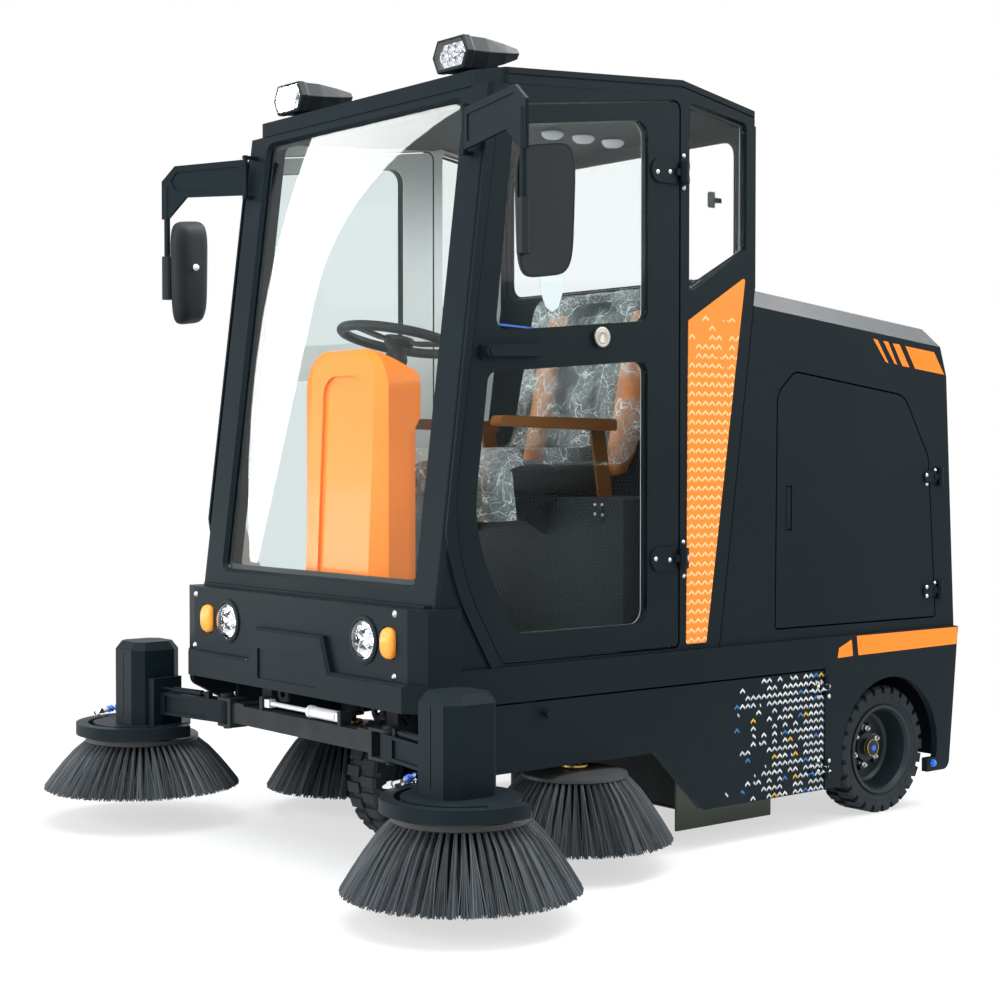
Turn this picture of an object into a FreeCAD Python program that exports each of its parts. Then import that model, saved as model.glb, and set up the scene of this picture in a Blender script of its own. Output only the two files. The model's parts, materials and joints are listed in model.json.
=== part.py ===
"""Compact road sweeper: a three-wheeled electric machine with a glazed cab, four side brushes,
a main roller brush between the axles and a waste housing at the rear.

Millimetres. X runs across the machine (+X is its left side), -Y is its front, Z is up.
While it is built, Y is measured from the front edge of the roof. Each piece is moved once, when
it is saved, so that the origin lies on the floor under the middle of the machine.
"""
import os
import math
import FreeCAD
import Part
from FreeCAD import Vector

os.makedirs("parts", exist_ok=True)

# Wheels
wheel_radius = 192.5
rim_radius = 108.0
rear_rim_radius = 136.0
tyre_clearance = 12.0
lug_count = 26
lug_height = 9.0
rear_wheel_y = 1530.0
rear_tyre_width = 112.0
front_wheel_y = 177.0
front_tyre_width = 140.0
axle_half = 30.0
rear_shaft_radius = 25.95
front_axle_radius = 16.0
steer_pin_radius = 25.0
crown_thickness = 23.0
running_gap = 0.05
seat_gap = 0.3

# Frame
frame_depth = 60.0
rail_in = 280.0
rail_out = 330.0
rail_low = 2 * wheel_radius + tyre_clearance + crown_thickness + 20.0
floor_z = rail_low + frame_depth
floor_thickness = 18.0
lash_x = 230.0
lash_radius = 12.5
lash_thickness = 10.0
lash_half_width = 27.0
lash_z = rail_low - 22.0

# Lower body
lower_half_width = 583.0
wall = 22.0
sill_top = floor_z + 53.0
skirt_door_top = sill_top - 90.0
sill_low = sill_top - 268.0
skirt_low = 108.0
low_rear_y = rear_wheel_y + 282.0
sill_rear_y = low_rear_y + 43.0
rear_tyre_outer_x = lower_half_width - wall - 6.0
arch_radius = wheel_radius + 31.5
skirt_hinge_y = rear_wheel_y - 301.0
door_gap = 6.5
lid_gap = 5.0

# Bumper
bumper_half_width = lower_half_width - 48.0
bumper_panel_half_width = bumper_half_width - 13.0
bumper_front_y = -252.0
bumper_low = floor_z - 45.0
bumper_lip_top = bumper_low + 72.0
bumper_top = sill_top + 156.0
bumper_depth = 141.0
bumper_back_y = bumper_front_y + bumper_depth
bumper_shell = 6.0
bumper_inset = 20.0
bumper_chamfer = 8.0
bumper_corner = 38.0
side_front_y = bumper_front_y + bumper_corner
hump_half_top = 165.0
hump_half_low = 208.0
hump_top = bumper_lip_top + 91.0
plate_half_width = 146.0
plate_low = bumper_low + 25.0
plate_height = 82.0
plate_recess = 5.0
lamp_x = bumper_half_width - 201.0
lamp_z = bumper_top - 88.0
headlamp_radius = 55.0
signal_x = lamp_x + 110.0
signal_half_width = 29.0
signal_half_height = 40.0
lash_y = bumper_back_y - 1.0

# Rear lamps, as heights over the sill
red_lamp_low = 262.0
red_lamp_high = 342.0
amber_lamp_low = 437.0
amber_lamp_high = 511.0

# Cab
upper_half_width = lower_half_width - 12.0
front_half_width = upper_half_width - 73.0
pillar_half_width = upper_half_width - 11.0
cab_height = 1507.0
roof_front_z = sill_top + cab_height
roof_rise = 45.0
roof_fall = 53.0
roof_break_z = roof_front_z + roof_rise
roof_rear_z = roof_break_z - roof_fall
roof_break_y = 657.0
roof_thickness = 42.0
screen_low_y = -178.0
screen_top_y = -5.0
pillar_depth = 62.0
pillar_lip_depth = 14.0
cab_wall = 30.0
screen_border = 36.0
screen_foot = 52.0
screen_header = 30.0
screen_set_back = 14.0
screen_corner = 22.0
screen_bevel = 9.0
glass_thickness = 6.0
cab_rear_y = roof_break_y + 288.0
post_foot_y = cab_rear_y - 141.0
rear_wall_thickness = 25.0
waist_rear_z = sill_top + cab_height * 0.67 - 0.7
strip_width = 34.0
strip_height = 7.0

# Rear housing
housing_wall = 20.0
housing_bevel = 55.0
housing_break_y = sill_rear_y - 102.0
housing_rear_y = sill_rear_y - 51.0
housing_foot_y = sill_rear_y - 7.0
housing_break_z = waist_rear_z - 84.0
housing_rear_z = waist_rear_z - 231.0
housing_front_gap = 3.0

# Brushes
front_brush_x = lower_half_width + 197.0
front_brush_y = -265.0
front_brush_radius = 288.0
front_brush_low_left = 70.0
front_brush_low_right = 100.0
front_disc_radius = 162.0
front_disc_low = 236.0
front_disc_high = 258.0
inner_brush_x = lower_half_width - 63.0
inner_brush_y = front_wheel_y + 138.0
inner_brush_radius = 263.0
inner_brush_low = 72.0
inner_disc_radius = 136.0
inner_disc_low = 240.0
inner_disc_high = 262.0
brush_shaft_radius = 14.0
tuft_count = 36
roller_y = rear_wheel_y - 500.0
roller_radius = 150.0
roller_half_length = 350.0
roller_shaft_radius = 16.0
roller_z = roller_radius + 14.0
roller_core_radius = 90.0
hood_gap = 30.0
hood_foot_z = 70.0
hood_fold = 40.0
arm_pivot_x = 400.0
arm_pivot_y = -195.0
arm_pin_radius = 12.0
arm_z = rail_low - 82.0
arm_half = 32.0
motor_half = 78.0
motor_low = front_disc_high + 36.0
motor_height = 242.0
motor_inset = 22.0
guard_radius = 193.0
guard_depth = 33.0
lift_lug_x = lash_x - 38.0

# Inside the cab
cowl_front_y = -100.0
cowl_half_width = 197.0
cowl_height = 857.0
cowl_top_z = floor_z + cowl_height + 15.0
screen_slope = (screen_top_y - screen_low_y) / (roof_front_z - bumper_top)
cowl_gap = 31.0
cowl_lean = screen_low_y + screen_slope * (cowl_top_z - bumper_top) + cowl_gap - cowl_front_y
cowl_rear_y = cowl_front_y + cowl_lean + 113.0
steering_radius = 162.0
steering_hub = (0.0, cowl_rear_y + 70.0, cowl_top_z + 24.0)
steering_tilt = 12.0
seat_box_half = upper_half_width - 91.0
seat_box_front_y = 524.0
seat_z = floor_z + 468.0
seat_half = 240.0
seat_front_y = 285.0
seat_rear_y = 735.0

pieces_made = {}


def save(name, shape):
    """Keep one finished piece under its node's name."""
    pieces_made[name] = shape


def save_pair(name, shape):
    """Keep a left piece and its mirror image as two nodes."""
    save(name + "_left", shape)
    save(name + "_right", mirrored(shape))


def write_pieces():
    """Write each piece to its STEP file, with the origin under the middle of the whole machine."""
    spans = [shape.BoundBox for shape in pieces_made.values()]
    middle = (min(span.YMin for span in spans) + max(span.YMax for span in spans)) / 2.0
    for name, shape in pieces_made.items():
        moved = shape.copy()
        moved.translate(Vector(0, -middle, 0))
        moved.exportStep("parts/" + name + ".step")
    print("origin lies", round(middle, 3), "mm behind the roof's front edge")


def block(x0, x1, y0, y1, z0, z1):
    """A box between two values on each axis, given in either order."""
    low = Vector(min(x0, x1), min(y0, y1), min(z0, z1))
    return Part.makeBox(abs(x1 - x0), abs(y1 - y0), abs(z1 - z0), low)


def rod(start, end, radius):
    """A round bar from one point to another."""
    a = Vector(*start)
    b = Vector(*end)
    return Part.makeCylinder(radius, (b - a).Length, a, b - a)


def upright(x, y, z0, z1, radius):
    """A round bar that stands at (x, y) from z0 to z1."""
    return Part.makeCylinder(radius, z1 - z0, Vector(x, y, z0))


def across(point, x):
    """A side-view point (y, z) at the place x."""
    return Vector(x, point[0], point[1])


def outline(points, radii):
    """A closed wire through the points, with each corner rounded to its radius."""
    count = len(points)
    edges = []
    ends = []
    for i in range(count):
        corner = points[i]
        before = points[i - 1] - corner
        after = points[(i + 1) % count] - corner
        radius = radii[i]
        if radius <= 0:
            ends.append((corner, None, corner))
            continue
        before.normalize()
        after.normalize()
        half = before.getAngle(after) / 2.0
        reach = radius / math.tan(half)
        inward = before + after
        inward.normalize()
        middle = corner + inward * (radius / math.sin(half) - radius)
        ends.append((corner + before * reach, middle, corner + after * reach))
    for i in range(count):
        first, middle, last = ends[i]
        if middle is not None:
            edges.append(Part.Arc(first, middle, last).toShape())
        following = ends[(i + 1) % count][0]
        if (following - last).Length > 1e-6:
            edges.append(Part.LineSegment(last, following).toShape())
    return Part.Wire(edges)


def radii_list(points, radii):
    """One radius for every corner, or the list as it is."""
    if isinstance(radii, (int, float)):
        return [float(radii)] * len(points)
    return radii


def side_plate(points, x0, x1, radii=0.0, grow=0.0):
    """A plate with a side-view outline of (y, z) points, from x0 to x1. grow widens the outline."""
    wire = outline([across(p, x0) for p in points], radii_list(points, radii))
    if grow:
        wire = wire.makeOffset2D(grow)
    return Part.Face(wire).extrude(Vector(x1 - x0, 0, 0))


def front_plate(points, y0, y1, radii=0.0):
    """A plate with a front-view outline of (x, z) points, from y0 to y1."""
    wire = outline([Vector(p[0], y0, p[1]) for p in points], radii_list(points, radii))
    return Part.Face(wire).extrude(Vector(0, y1 - y0, 0))


def plan_plate(points, z0, z1, radii=0.0):
    """A plate with a plan outline of (x, y) points, from z0 to z1."""
    wire = outline([Vector(p[0], p[1], z0) for p in points], radii_list(points, radii))
    return Part.Face(wire).extrude(Vector(0, 0, z1 - z0))


def turned(profile, centre, axis):
    """Revolve (radius, height) points round an axis through the centre. Height runs along the axis."""
    direction = Vector(*axis)
    direction.normalize()
    side = Vector(1, 0, 0) if abs(direction.x) < 0.5 else Vector(0, 1, 0)
    base = Vector(*centre)
    points = [base + side * r + direction * h for r, h in profile]
    face = Part.Face(Part.makePolygon(points + [points[0]]))
    return face.revolve(base, direction, 360)


def tapered(base, top):
    """A solid with flat sides between two like polygons. A side that would be twisted gets two triangles."""
    count = len(base)
    rings = [base, top]
    for i in range(count):
        j = (i + 1) % count
        side = (base[j] - base[i]).cross(top[i] - base[i])
        side.normalize()
        if abs(side.dot(top[j] - base[i])) < 1e-4:
            rings.append([base[i], base[j], top[j], top[i]])
        else:
            rings.append([base[i], base[j], top[j]])
            rings.append([base[i], top[j], top[i]])
    faces = [Part.Face(Part.makePolygon(ring + [ring[0]])) for ring in rings]
    return Part.makeSolid(Part.makeShell(faces))


def mirrored(shape):
    """The same piece on the other side of the machine."""
    return shape.mirror(Vector(0, 0, 0), Vector(1, 0, 0))


def both(shape):
    """A piece and its mirror image as one set of separate solids."""
    return Part.makeCompound([shape, mirrored(shape)])


def joined(shapes):
    """Fuse pieces of one casting, weldment or moulding."""
    return shapes[0].fuse(shapes[1:]).removeSplitter()


def screen_y(z):
    """How far forward the face of the windscreen frame lies at a height."""
    share = (z - bumper_top) / (roof_front_z - bumper_top)
    return screen_low_y + share * (screen_top_y - screen_low_y)


def post_rear_y(z):
    """The rear edge of the cab side, which slants forward below the waist."""
    share = (z - sill_top) / (waist_rear_z - sill_top)
    return post_foot_y + min(share, 1.0) * (cab_rear_y - post_foot_y)


def roof_z(y):
    """The height of the roof at a place along the machine."""
    if y < roof_break_y:
        return roof_front_z + roof_rise * y / roof_break_y
    return roof_break_z - roof_fall * (y - roof_break_y) / (cab_rear_y - roof_break_y)


def housing_top_z(y):
    """The height of the housing's top, which falls gently to the rear."""
    share = (y - cab_rear_y) / (housing_break_y - cab_rear_y)
    return waist_rear_z + share * (housing_break_z - waist_rear_z)


# The cab door's outline, as (y, z) points. Its front edge follows the windscreen, then sweeps back.

door_low_z = sill_top + 14.0
door_rear_y = roof_break_y - 12.0
door_knee_z = sill_top + 301.0
door_top_margin = 18.0


def door_front_y(z):
    """The door's front edge above its knee, in line with the leaning windscreen."""
    return screen_y(z) + 22.4 + 12.6 * (z - door_knee_z) / 1000.0


def door_top_z(y):
    """The door's top edge, a little lower than the roof's underside at the rear and more in front."""
    share = (door_rear_y - y) / (door_rear_y - door_front_y(roof_front_z - 97.0))
    return roof_z(door_rear_y) - roof_thickness - door_top_margin - share * 82.0


door_outline = [
    (27.0, door_low_z),
    (door_front_y(door_knee_z), door_knee_z),
    (door_front_y(door_top_z(19.0)), door_top_z(19.0)),
    (door_rear_y, door_top_z(door_rear_y)),
    (door_rear_y, door_low_z),
]
door_radii = [12.0, 550.0, 70.0, 20.0, 12.0]

# The door's two panes: inset from its edges, with a rail between them at belt height

pane_border = 46.0
pane_rear_y = door_rear_y - 115.0
belt_z = sill_top + 833.0
upper_pane = [
    (door_front_y(belt_z) + pane_border + 22.0, belt_z + 14.0),
    (door_front_y(door_top_z(0.0)) + pane_border, door_top_z(54.0) - pane_border),
    (pane_rear_y, door_top_z(pane_rear_y) - pane_border),
    (pane_rear_y, belt_z + 62.0),
]
upper_pane_radii = [30.0, 40.0, 40.0, 30.0]
lower_pane = [
    (76.0, door_low_z + 67.0),
    (door_front_y(door_knee_z) + 70.0, door_knee_z + 30.0),
    (door_front_y(belt_z) + pane_border, belt_z - 90.0),
    (pane_rear_y, belt_z - 46.0),
    (pane_rear_y, door_low_z + 67.0),
]
lower_pane_radii = [46.0, 380.0, 30.0, 30.0, 40.0]

quarter_front_y = roof_break_y + 27.0
quarter_rear_y = cab_rear_y - 37.0
quarter_window = [
    (quarter_front_y, waist_rear_z - 35.0),
    (quarter_front_y, roof_z(quarter_front_y) - roof_thickness - 9.0),
    (quarter_rear_y, roof_z(quarter_rear_y) - roof_thickness - 3.0),
    (quarter_rear_y, waist_rear_z + 102.0),
]
quarter_panel = [
    (quarter_front_y - 9.0, sill_top + 17.0),
    (quarter_front_y - 4.0, waist_rear_z - 107.0),
    (quarter_rear_y - 5.0, waist_rear_z + 24.0),
    (post_foot_y - 52.0, sill_top + 17.0),
]


def make_chassis():
    """Welded frame: two rails, cross members, steering head, axle hangers, outriggers and lashing tabs."""
    rail_rear_y = low_rear_y - wall
    pieces = []
    for side in (-1, 1):
        pieces.append(block(side * rail_in, side * rail_out, bumper_back_y, rail_rear_y, rail_low, floor_z))
    front_cross_y = lash_y + lash_thickness / 2.0 + 7.0
    for y in (front_cross_y, 600.0, roller_y + 210.0, rail_rear_y - 30.0):
        pieces.append(block(-rail_in, rail_in, y - 20, y + 20, rail_low, floor_z))
    head_plate_low = rail_low + 20.0
    crown_high = rail_low - 20.0
    pieces.append(block(-rail_in, rail_in, front_wheel_y - 90, front_wheel_y + 90, head_plate_low, floor_z))
    pieces.append(upright(0, front_wheel_y, crown_high + 1.0, head_plate_low, 55.0))
    for side in (-1, 1):
        pieces.append(block(side * rail_in, side * rail_out, rear_wheel_y - 45, rear_wheel_y + 45,
                            wheel_radius + axle_half, rail_low))
        for y in (40.0, 640.0, roller_y + 210.0):
            pieces.append(block(side * rail_out, side * (lower_half_width - wall), y - 20, y + 20,
                                floor_z - 36.0, floor_z))
        x = side * lash_x
        low = lash_z - lash_half_width + 3.0
        tab = front_plate([(x - lash_half_width, rail_low + 5), (x - lash_half_width, low),
                           (x + lash_half_width, low), (x + lash_half_width, rail_low + 5)],
                          lash_y - lash_thickness / 2.0, lash_y + lash_thickness / 2.0, [0.0, 22.0, 22.0, 0.0])
        hole = rod((x, lash_y - 20, lash_z), (x, lash_y + 20, lash_z), lash_radius)
        pieces.append(tab.cut(hole))
    frame = joined(pieces)
    return frame.cut(upright(0, front_wheel_y, crown_high - 30, floor_z + 50, steer_pin_radius + running_gap))


def make_cab_floor():
    """Floor plate of the cab, with the steering head's clearance hole."""
    half = lower_half_width - wall
    plate = block(-half, half, bumper_back_y, post_foot_y - rear_wall_thickness, floor_z,
                  floor_z + floor_thickness)
    return plate.cut(upright(0, front_wheel_y, floor_z - 10, floor_z + 50, 60.0))


skirt_front_y = -62.0


def make_lower_body():
    """Left side of the lower body: the sill, the front corner and the rear panel with its arch."""
    points = [
        (side_front_y, sill_top),
        (sill_rear_y, sill_top),
        (low_rear_y, skirt_low),
        (skirt_hinge_y + lid_gap, skirt_low),
        (skirt_hinge_y + lid_gap, skirt_door_top),
        (skirt_front_y - lid_gap, skirt_door_top),
        (skirt_front_y - lid_gap, sill_low + 60),
        (side_front_y, sill_low + 140),
    ]
    radii = [0.0, 6.0, 30.0, 0.0, 0.0, 0.0, 40.0, 30.0]
    panel = side_plate(points, lower_half_width - wall, lower_half_width, radii)
    arch = rod((lower_half_width - wall - 5, rear_wheel_y, wheel_radius),
               (lower_half_width + 5, rear_wheel_y, wheel_radius), arch_radius)
    arch_foot = block(lower_half_width - wall - 5, lower_half_width + 5, rear_wheel_y - arch_radius,
                      rear_wheel_y + arch_radius - 24, 0, wheel_radius)
    toe = block(lower_half_width - wall, lower_half_width, low_rear_y - 105, low_rear_y - 60, skirt_low,
                skirt_low + 42)
    crease = side_plate([(skirt_hinge_y + 30, skirt_low - 5), (skirt_hinge_y + 30, skirt_low + 22),
                         (rear_wheel_y - arch_radius + 5, skirt_low + 22),
                         (rear_wheel_y - arch_radius + 5, skirt_low - 5)],
                        lower_half_width - 3, lower_half_width + 5)
    return joined([panel.cut(arch).cut(arch_foot).cut(crease), toe])


def make_rear_panel():
    """Rear panel of the lower body, between the two sides, with a raised middle field."""
    half = lower_half_width - wall
    low = skirt_low + 40
    foot_y = low_rear_y + 4
    lean = (sill_rear_y - foot_y) / (sill_top - low)
    panel = side_plate([(sill_rear_y, sill_top), (foot_y, low), (foot_y - wall, low),
                        (sill_rear_y - wall, sill_top)], -half, half)
    field_low = low + 70
    field_high = sill_top - 60
    recess = side_plate([(foot_y + lean * (field_high - low) + 5, field_high),
                         (foot_y + lean * (field_low - low) + 5, field_low),
                         (foot_y + lean * (field_low - low) - 6, field_low),
                         (foot_y + lean * (field_high - low) - 6, field_high)], -half + 90, half - 90)
    return panel.cut(recess)


def bumper_outline(half, chamfer, y_front, y_back):
    """Plan of the bumper: a straight front with chamfered corners that run out to the body side."""
    side = lower_half_width
    return [
        (-side, y_back), (-side, y_front + chamfer), (-half, y_front),
        (half, y_front), (side, y_front + chamfer), (side, y_back),
    ]


def signal_points(x, grow):
    """Front outline of one turn signal, grown outward by a margin."""
    w = signal_half_width + grow
    h = signal_half_height + grow
    return [(x - w, lamp_z - h), (x + w, lamp_z - h), (x + w, lamp_z + h), (x - w, lamp_z + h)]


def make_bumper():
    """Moulded bumper: an upper lamp panel over a deeper lip that steps up round the blank plate."""
    panel_y = bumper_front_y + bumper_inset
    upper = plan_plate(bumper_outline(bumper_panel_half_width, bumper_corner - bumper_inset, panel_y,
                                      bumper_back_y), bumper_lip_top - 30, bumper_top)
    lip = plan_plate(bumper_outline(bumper_half_width - 11, bumper_corner, bumper_front_y, bumper_back_y),
                     bumper_low, bumper_lip_top)
    hump = front_plate([(-hump_half_low, bumper_lip_top - 20), (hump_half_low, bumper_lip_top - 20),
                        (hump_half_top, hump_top), (-hump_half_top, hump_top)],
                       bumper_front_y, bumper_front_y + 40)
    body = joined([upper, lip, hump])
    top_edges = []
    for edge in body.Edges:
        span = edge.BoundBox
        on_face = abs(span.YMin - bumper_front_y) < 0.1 and abs(span.YMax - bumper_front_y) < 0.1
        if on_face and span.ZMin > bumper_lip_top - 25:
            top_edges.append(edge)
    body = body.makeChamfer(bumper_chamfer, top_edges)
    body = body.cut(block(-bumper_panel_half_width + 30, bumper_panel_half_width - 30, panel_y + wall,
                          bumper_back_y + 1, bumper_low - 1, bumper_top - bumper_shell))
    body = body.cut(block(-plate_half_width, plate_half_width, bumper_front_y - 1, bumper_front_y + plate_recess,
                          plate_low, plate_low + plate_height))
    for side in (-1, 1):
        body = body.cut(block(side * (lower_half_width - wall), side * (lower_half_width + 5), side_front_y,
                              bumper_back_y + 1, bumper_low, sill_top))
        x = side * lamp_x
        body = body.cut(rod((x, bumper_front_y - 1, lamp_z), (x, panel_y + 30, lamp_z), headlamp_radius))
        body = body.cut(front_plate(signal_points(side * signal_x, 0.0), bumper_front_y - 1, panel_y + 30, 10.0))
        rim = rod((x, panel_y - 4, lamp_z), (x, panel_y + 2, lamp_z), headlamp_radius + 7)
        body = body.fuse(rim.cut(rod((x, panel_y - 9, lamp_z), (x, panel_y + 9, lamp_z), headlamp_radius)))
    return body


def make_headlamp():
    """Left headlamp: a shallow domed lens on a round body."""
    dome = 22.0
    radius = headlamp_radius
    profile = [(0, -dome), (radius * 0.45, -dome * 0.9), (radius * 0.78, -dome * 0.66), (radius * 0.95, -dome * 0.4),
               (radius, -3.0), (radius, 26.0), (0, 26.0)]
    return turned(profile, (lamp_x, bumper_front_y + bumper_inset, lamp_z), (0, 1, 0))


def make_turn_signal():
    """Left turn signal lens: a tall block with a pointed middle that bulges from the panel."""
    face = bumper_front_y + bumper_inset
    base = front_plate(signal_points(signal_x, 0.0), face - 2.0, face + 26.0, 10.0)
    half = signal_half_height - 4
    outline_out = [(-16, -half), (15, -half), (25, -8), (22, half), (-8, half), (-24, 10)]
    outline_in = [(x * 0.8, z * 0.9) for x, z in outline_out]
    nose = tapered([Vector(signal_x + x, face - 1.0, lamp_z + z) for x, z in outline_out],
                   [Vector(signal_x + x, face - 20.0, lamp_z + z) for x, z in outline_in])
    return joined([base, nose])


def make_pillar():
    """Left front pillar: a leaning folded section whose deep part stays clear of the door."""
    low = bumper_top
    high = roof_front_z - roof_thickness
    face = screen_y(low)
    inner = front_half_width - screen_border + 20
    deep = upper_half_width - cab_wall - 3
    plan = [
        Vector(inner, face, low),
        Vector(pillar_half_width, face, low),
        Vector(upper_half_width, face + pillar_lip_depth - 2, low),
        Vector(upper_half_width, face + pillar_lip_depth, low),
        Vector(deep, face + pillar_lip_depth, low),
        Vector(deep, face + pillar_depth, low),
        Vector(inner, face + pillar_depth, low),
    ]
    wire = outline(plan, [0.0, 6.0, 4.0, 0.0, 2.0, 2.0, 0.0])
    lean = Vector(0, screen_y(high) - screen_y(low), high - low)
    return Part.Face(wire).extrude(lean)


def screen_wire(half_width, z0, z1, depth, radius):
    """A rounded rectangle parallel to the windscreen, at a depth behind the frame's face."""
    corners = [(-half_width, z0), (half_width, z0), (half_width, z1), (-half_width, z1)]
    return outline([Vector(x, screen_y(z) + depth, z) for x, z in corners], [radius] * 4)


def screen_slab(half_width, z0, z1, front, back, radius=0.0):
    """A slab parallel to the windscreen, from front to back behind the frame's face."""
    wire = screen_wire(half_width, z0, z1, front, radius)
    return Part.Face(wire).extrude(Vector(0, back - front, 0))


opening_half_width = front_half_width - screen_border
opening_low_z = bumper_top + screen_foot
opening_high_z = roof_front_z - roof_thickness - screen_header


def screen_opening(front, back):
    """The windscreen's opening as a leaning slab with rounded corners."""
    return screen_slab(opening_half_width, opening_low_z, opening_high_z, front, back, screen_corner)


def make_front_frame():
    """Windscreen surround: leaning pillars, header and foot bar, with a bevel round the glass and a ledge."""
    left = make_pillar()
    face = screen_slab(front_half_width, bumper_top, roof_front_z - roof_thickness, 0.0, pillar_depth)
    grow = screen_bevel
    mouth = screen_wire(opening_half_width + grow, opening_low_z - grow, opening_high_z + grow, -1.0,
                        screen_corner + grow)
    throat = screen_wire(opening_half_width, opening_low_z, opening_high_z, screen_set_back - 2.0, screen_corner)
    face = face.cut(screen_opening(-5.0, pillar_depth + 5.0)).cut(Part.makeLoft([mouth, throat], True, True))
    ledge = plan_plate([(-pillar_half_width + 8, screen_low_y + 4), (-pillar_half_width + 24, screen_low_y - 14),
                        (pillar_half_width - 24, screen_low_y - 14), (pillar_half_width - 8, screen_low_y + 4)],
                       bumper_top, bumper_top + 9.0)
    return joined([left, mirrored(left), face, ledge])


def make_windscreen():
    """Windscreen glass, set back in the surround."""
    return screen_opening(screen_set_back, screen_set_back + glass_thickness)


def make_roof():
    """Roof panel with chamfered front corners, a break behind the door and a drip edge along each side."""
    half = upper_half_width
    front = screen_y(roof_front_z) - 8
    edge = [(front, roof_front_z - 2), (roof_break_y, roof_break_z), (cab_rear_y, roof_rear_z)]
    under = [(cab_rear_y, roof_rear_z - roof_thickness), (roof_break_y, roof_break_z - roof_thickness),
             (front, roof_front_z - roof_thickness)]
    slab = side_plate(edge + under, -half, half)
    plan = [(-half, cab_rear_y), (-half, front + 52), (-front_half_width, front),
            (front_half_width, front), (half, front + 52), (half, cab_rear_y)]
    trim = plan_plate(plan, roof_front_z - 200, roof_break_z + 50, [8.0, 20.0, 20.0, 20.0, 20.0, 8.0])
    roof = slab.common(trim)
    line = [(front + 60, roof_z(front + 60)), (roof_break_y, roof_break_z), (cab_rear_y, roof_rear_z)]
    groove = side_plate([(y, z - 16) for y, z in line] + [(y, z - 21) for y, z in reversed(line)],
                        half - 4, half + 4)
    return roof.cut(groove).cut(mirrored(groove))


def make_cab_side():
    """Left side of the cab: door opening with its raised front strip, rear post, quarter window and panel."""
    x0 = upper_half_width - cab_wall
    points = [
        (bumper_back_y, sill_top),
        (bumper_back_y, bumper_top),
        (screen_y(bumper_top) + pillar_lip_depth, bumper_top),
        (screen_y(roof_front_z - roof_thickness) + pillar_lip_depth, roof_front_z - roof_thickness),
        (roof_break_y, roof_break_z - roof_thickness),
        (cab_rear_y, roof_rear_z - roof_thickness),
        (cab_rear_y, waist_rear_z),
        (post_foot_y, sill_top),
    ]
    side = side_plate(points, x0, upper_half_width)
    strip = side_plate(door_outline, upper_half_width, upper_half_width + strip_height, door_radii,
                       door_gap + strip_width)
    strip_high = roof_front_z - 80
    reach = side_plate([(screen_low_y, sill_top), (screen_low_y, bumper_top), (screen_y(strip_high), strip_high),
                        (door_outline[2][0], strip_high), (door_outline[2][0], sill_top)],
                       upper_half_width - 5, upper_half_width + strip_height + 5)
    side = joined([side, strip.common(reach)])
    side = side.cut(side_plate(door_outline, x0 - 5, upper_half_width + 15, door_radii, door_gap))
    side = side.cut(side_plate(quarter_window, x0 - 5, upper_half_width + 5, 14.0))
    return side.cut(side_plate(quarter_panel, x0 - 5, upper_half_width + 5, 6.0))


def make_quarter_panel():
    """Left coloured panel behind the door, between the two posts."""
    return side_plate(quarter_panel, upper_half_width - 20, upper_half_width + 2, 6.0)


def make_quarter_glass():
    """Left quarter window glass."""
    return side_plate(quarter_window, upper_half_width - 14, upper_half_width - 14 + glass_thickness, 14.0)


rear_window_half = upper_half_width - 171.0
rear_window = [
    (-rear_window_half, waist_rear_z + 113.0), (rear_window_half, waist_rear_z + 113.0),
    (rear_window_half, roof_rear_z - 92.0), (-rear_window_half, roof_rear_z - 92.0),
]


def make_rear_wall():
    """Rear wall of the cab: upright over the waist, then slanted down behind the seat."""
    half = upper_half_width - cab_wall
    t = rear_wall_thickness
    points = [
        (cab_rear_y, roof_rear_z - roof_thickness),
        (cab_rear_y, waist_rear_z),
        (post_foot_y, sill_top),
        (post_foot_y, floor_z),
        (post_foot_y - t, floor_z),
        (post_foot_y - t, sill_top),
        (cab_rear_y - t, waist_rear_z),
        (cab_rear_y - t, roof_z(cab_rear_y - t) - roof_thickness),
    ]
    panel = side_plate(points, -half, half)
    return panel.cut(front_plate(rear_window, cab_rear_y - 2 * t, cab_rear_y + 5, 30.0))


def make_rear_glass():
    """Rear window glass."""
    return front_plate(rear_window, cab_rear_y - 14, cab_rear_y - 14 + glass_thickness, 30.0)


def make_door_frame():
    """Left cab door: one flat frame with an upper and a lower window."""
    x0 = upper_half_width - cab_wall
    frame = side_plate(door_outline, x0, upper_half_width, door_radii)
    frame = frame.cut(side_plate(upper_pane, x0 - 5, upper_half_width + 5, upper_pane_radii))
    return frame.cut(side_plate(lower_pane, x0 - 5, upper_half_width + 5, lower_pane_radii))


def make_door_glass():
    """Both panes of the left cab door."""
    x0 = upper_half_width - 12
    x1 = x0 + glass_thickness
    return Part.makeCompound([
        side_plate(upper_pane, x0, x1, upper_pane_radii),
        side_plate(lower_pane, x0, x1, lower_pane_radii),
    ])


def hinge_leaf(x_face, pin_x, pin_y, z, reach, plate_half, barrel_radius, pin_radius):
    """The moving half of a hinge: a round-nosed leaf on the panel and the barrel round the pin."""
    thickness = 6.0
    nose = min(plate_half - 2, reach / 3.0)
    leaf = side_plate([(pin_y - reach, z - plate_half), (pin_y - reach, z + plate_half),
                       (pin_y - 16, z + plate_half), (pin_y - 16, z - plate_half)],
                      x_face, x_face + thickness, [nose, nose, 2.0, 2.0])
    barrel = upright(pin_x, pin_y, z - 9, z + 9, barrel_radius)
    link = block(x_face + 0.5, pin_x, pin_y - 26, pin_y, z - 9, z + 9)
    bore = upright(pin_x, pin_y, z - 60, z + 60, pin_radius + running_gap)
    return joined([leaf, barrel, link]).cut(bore)


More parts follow.
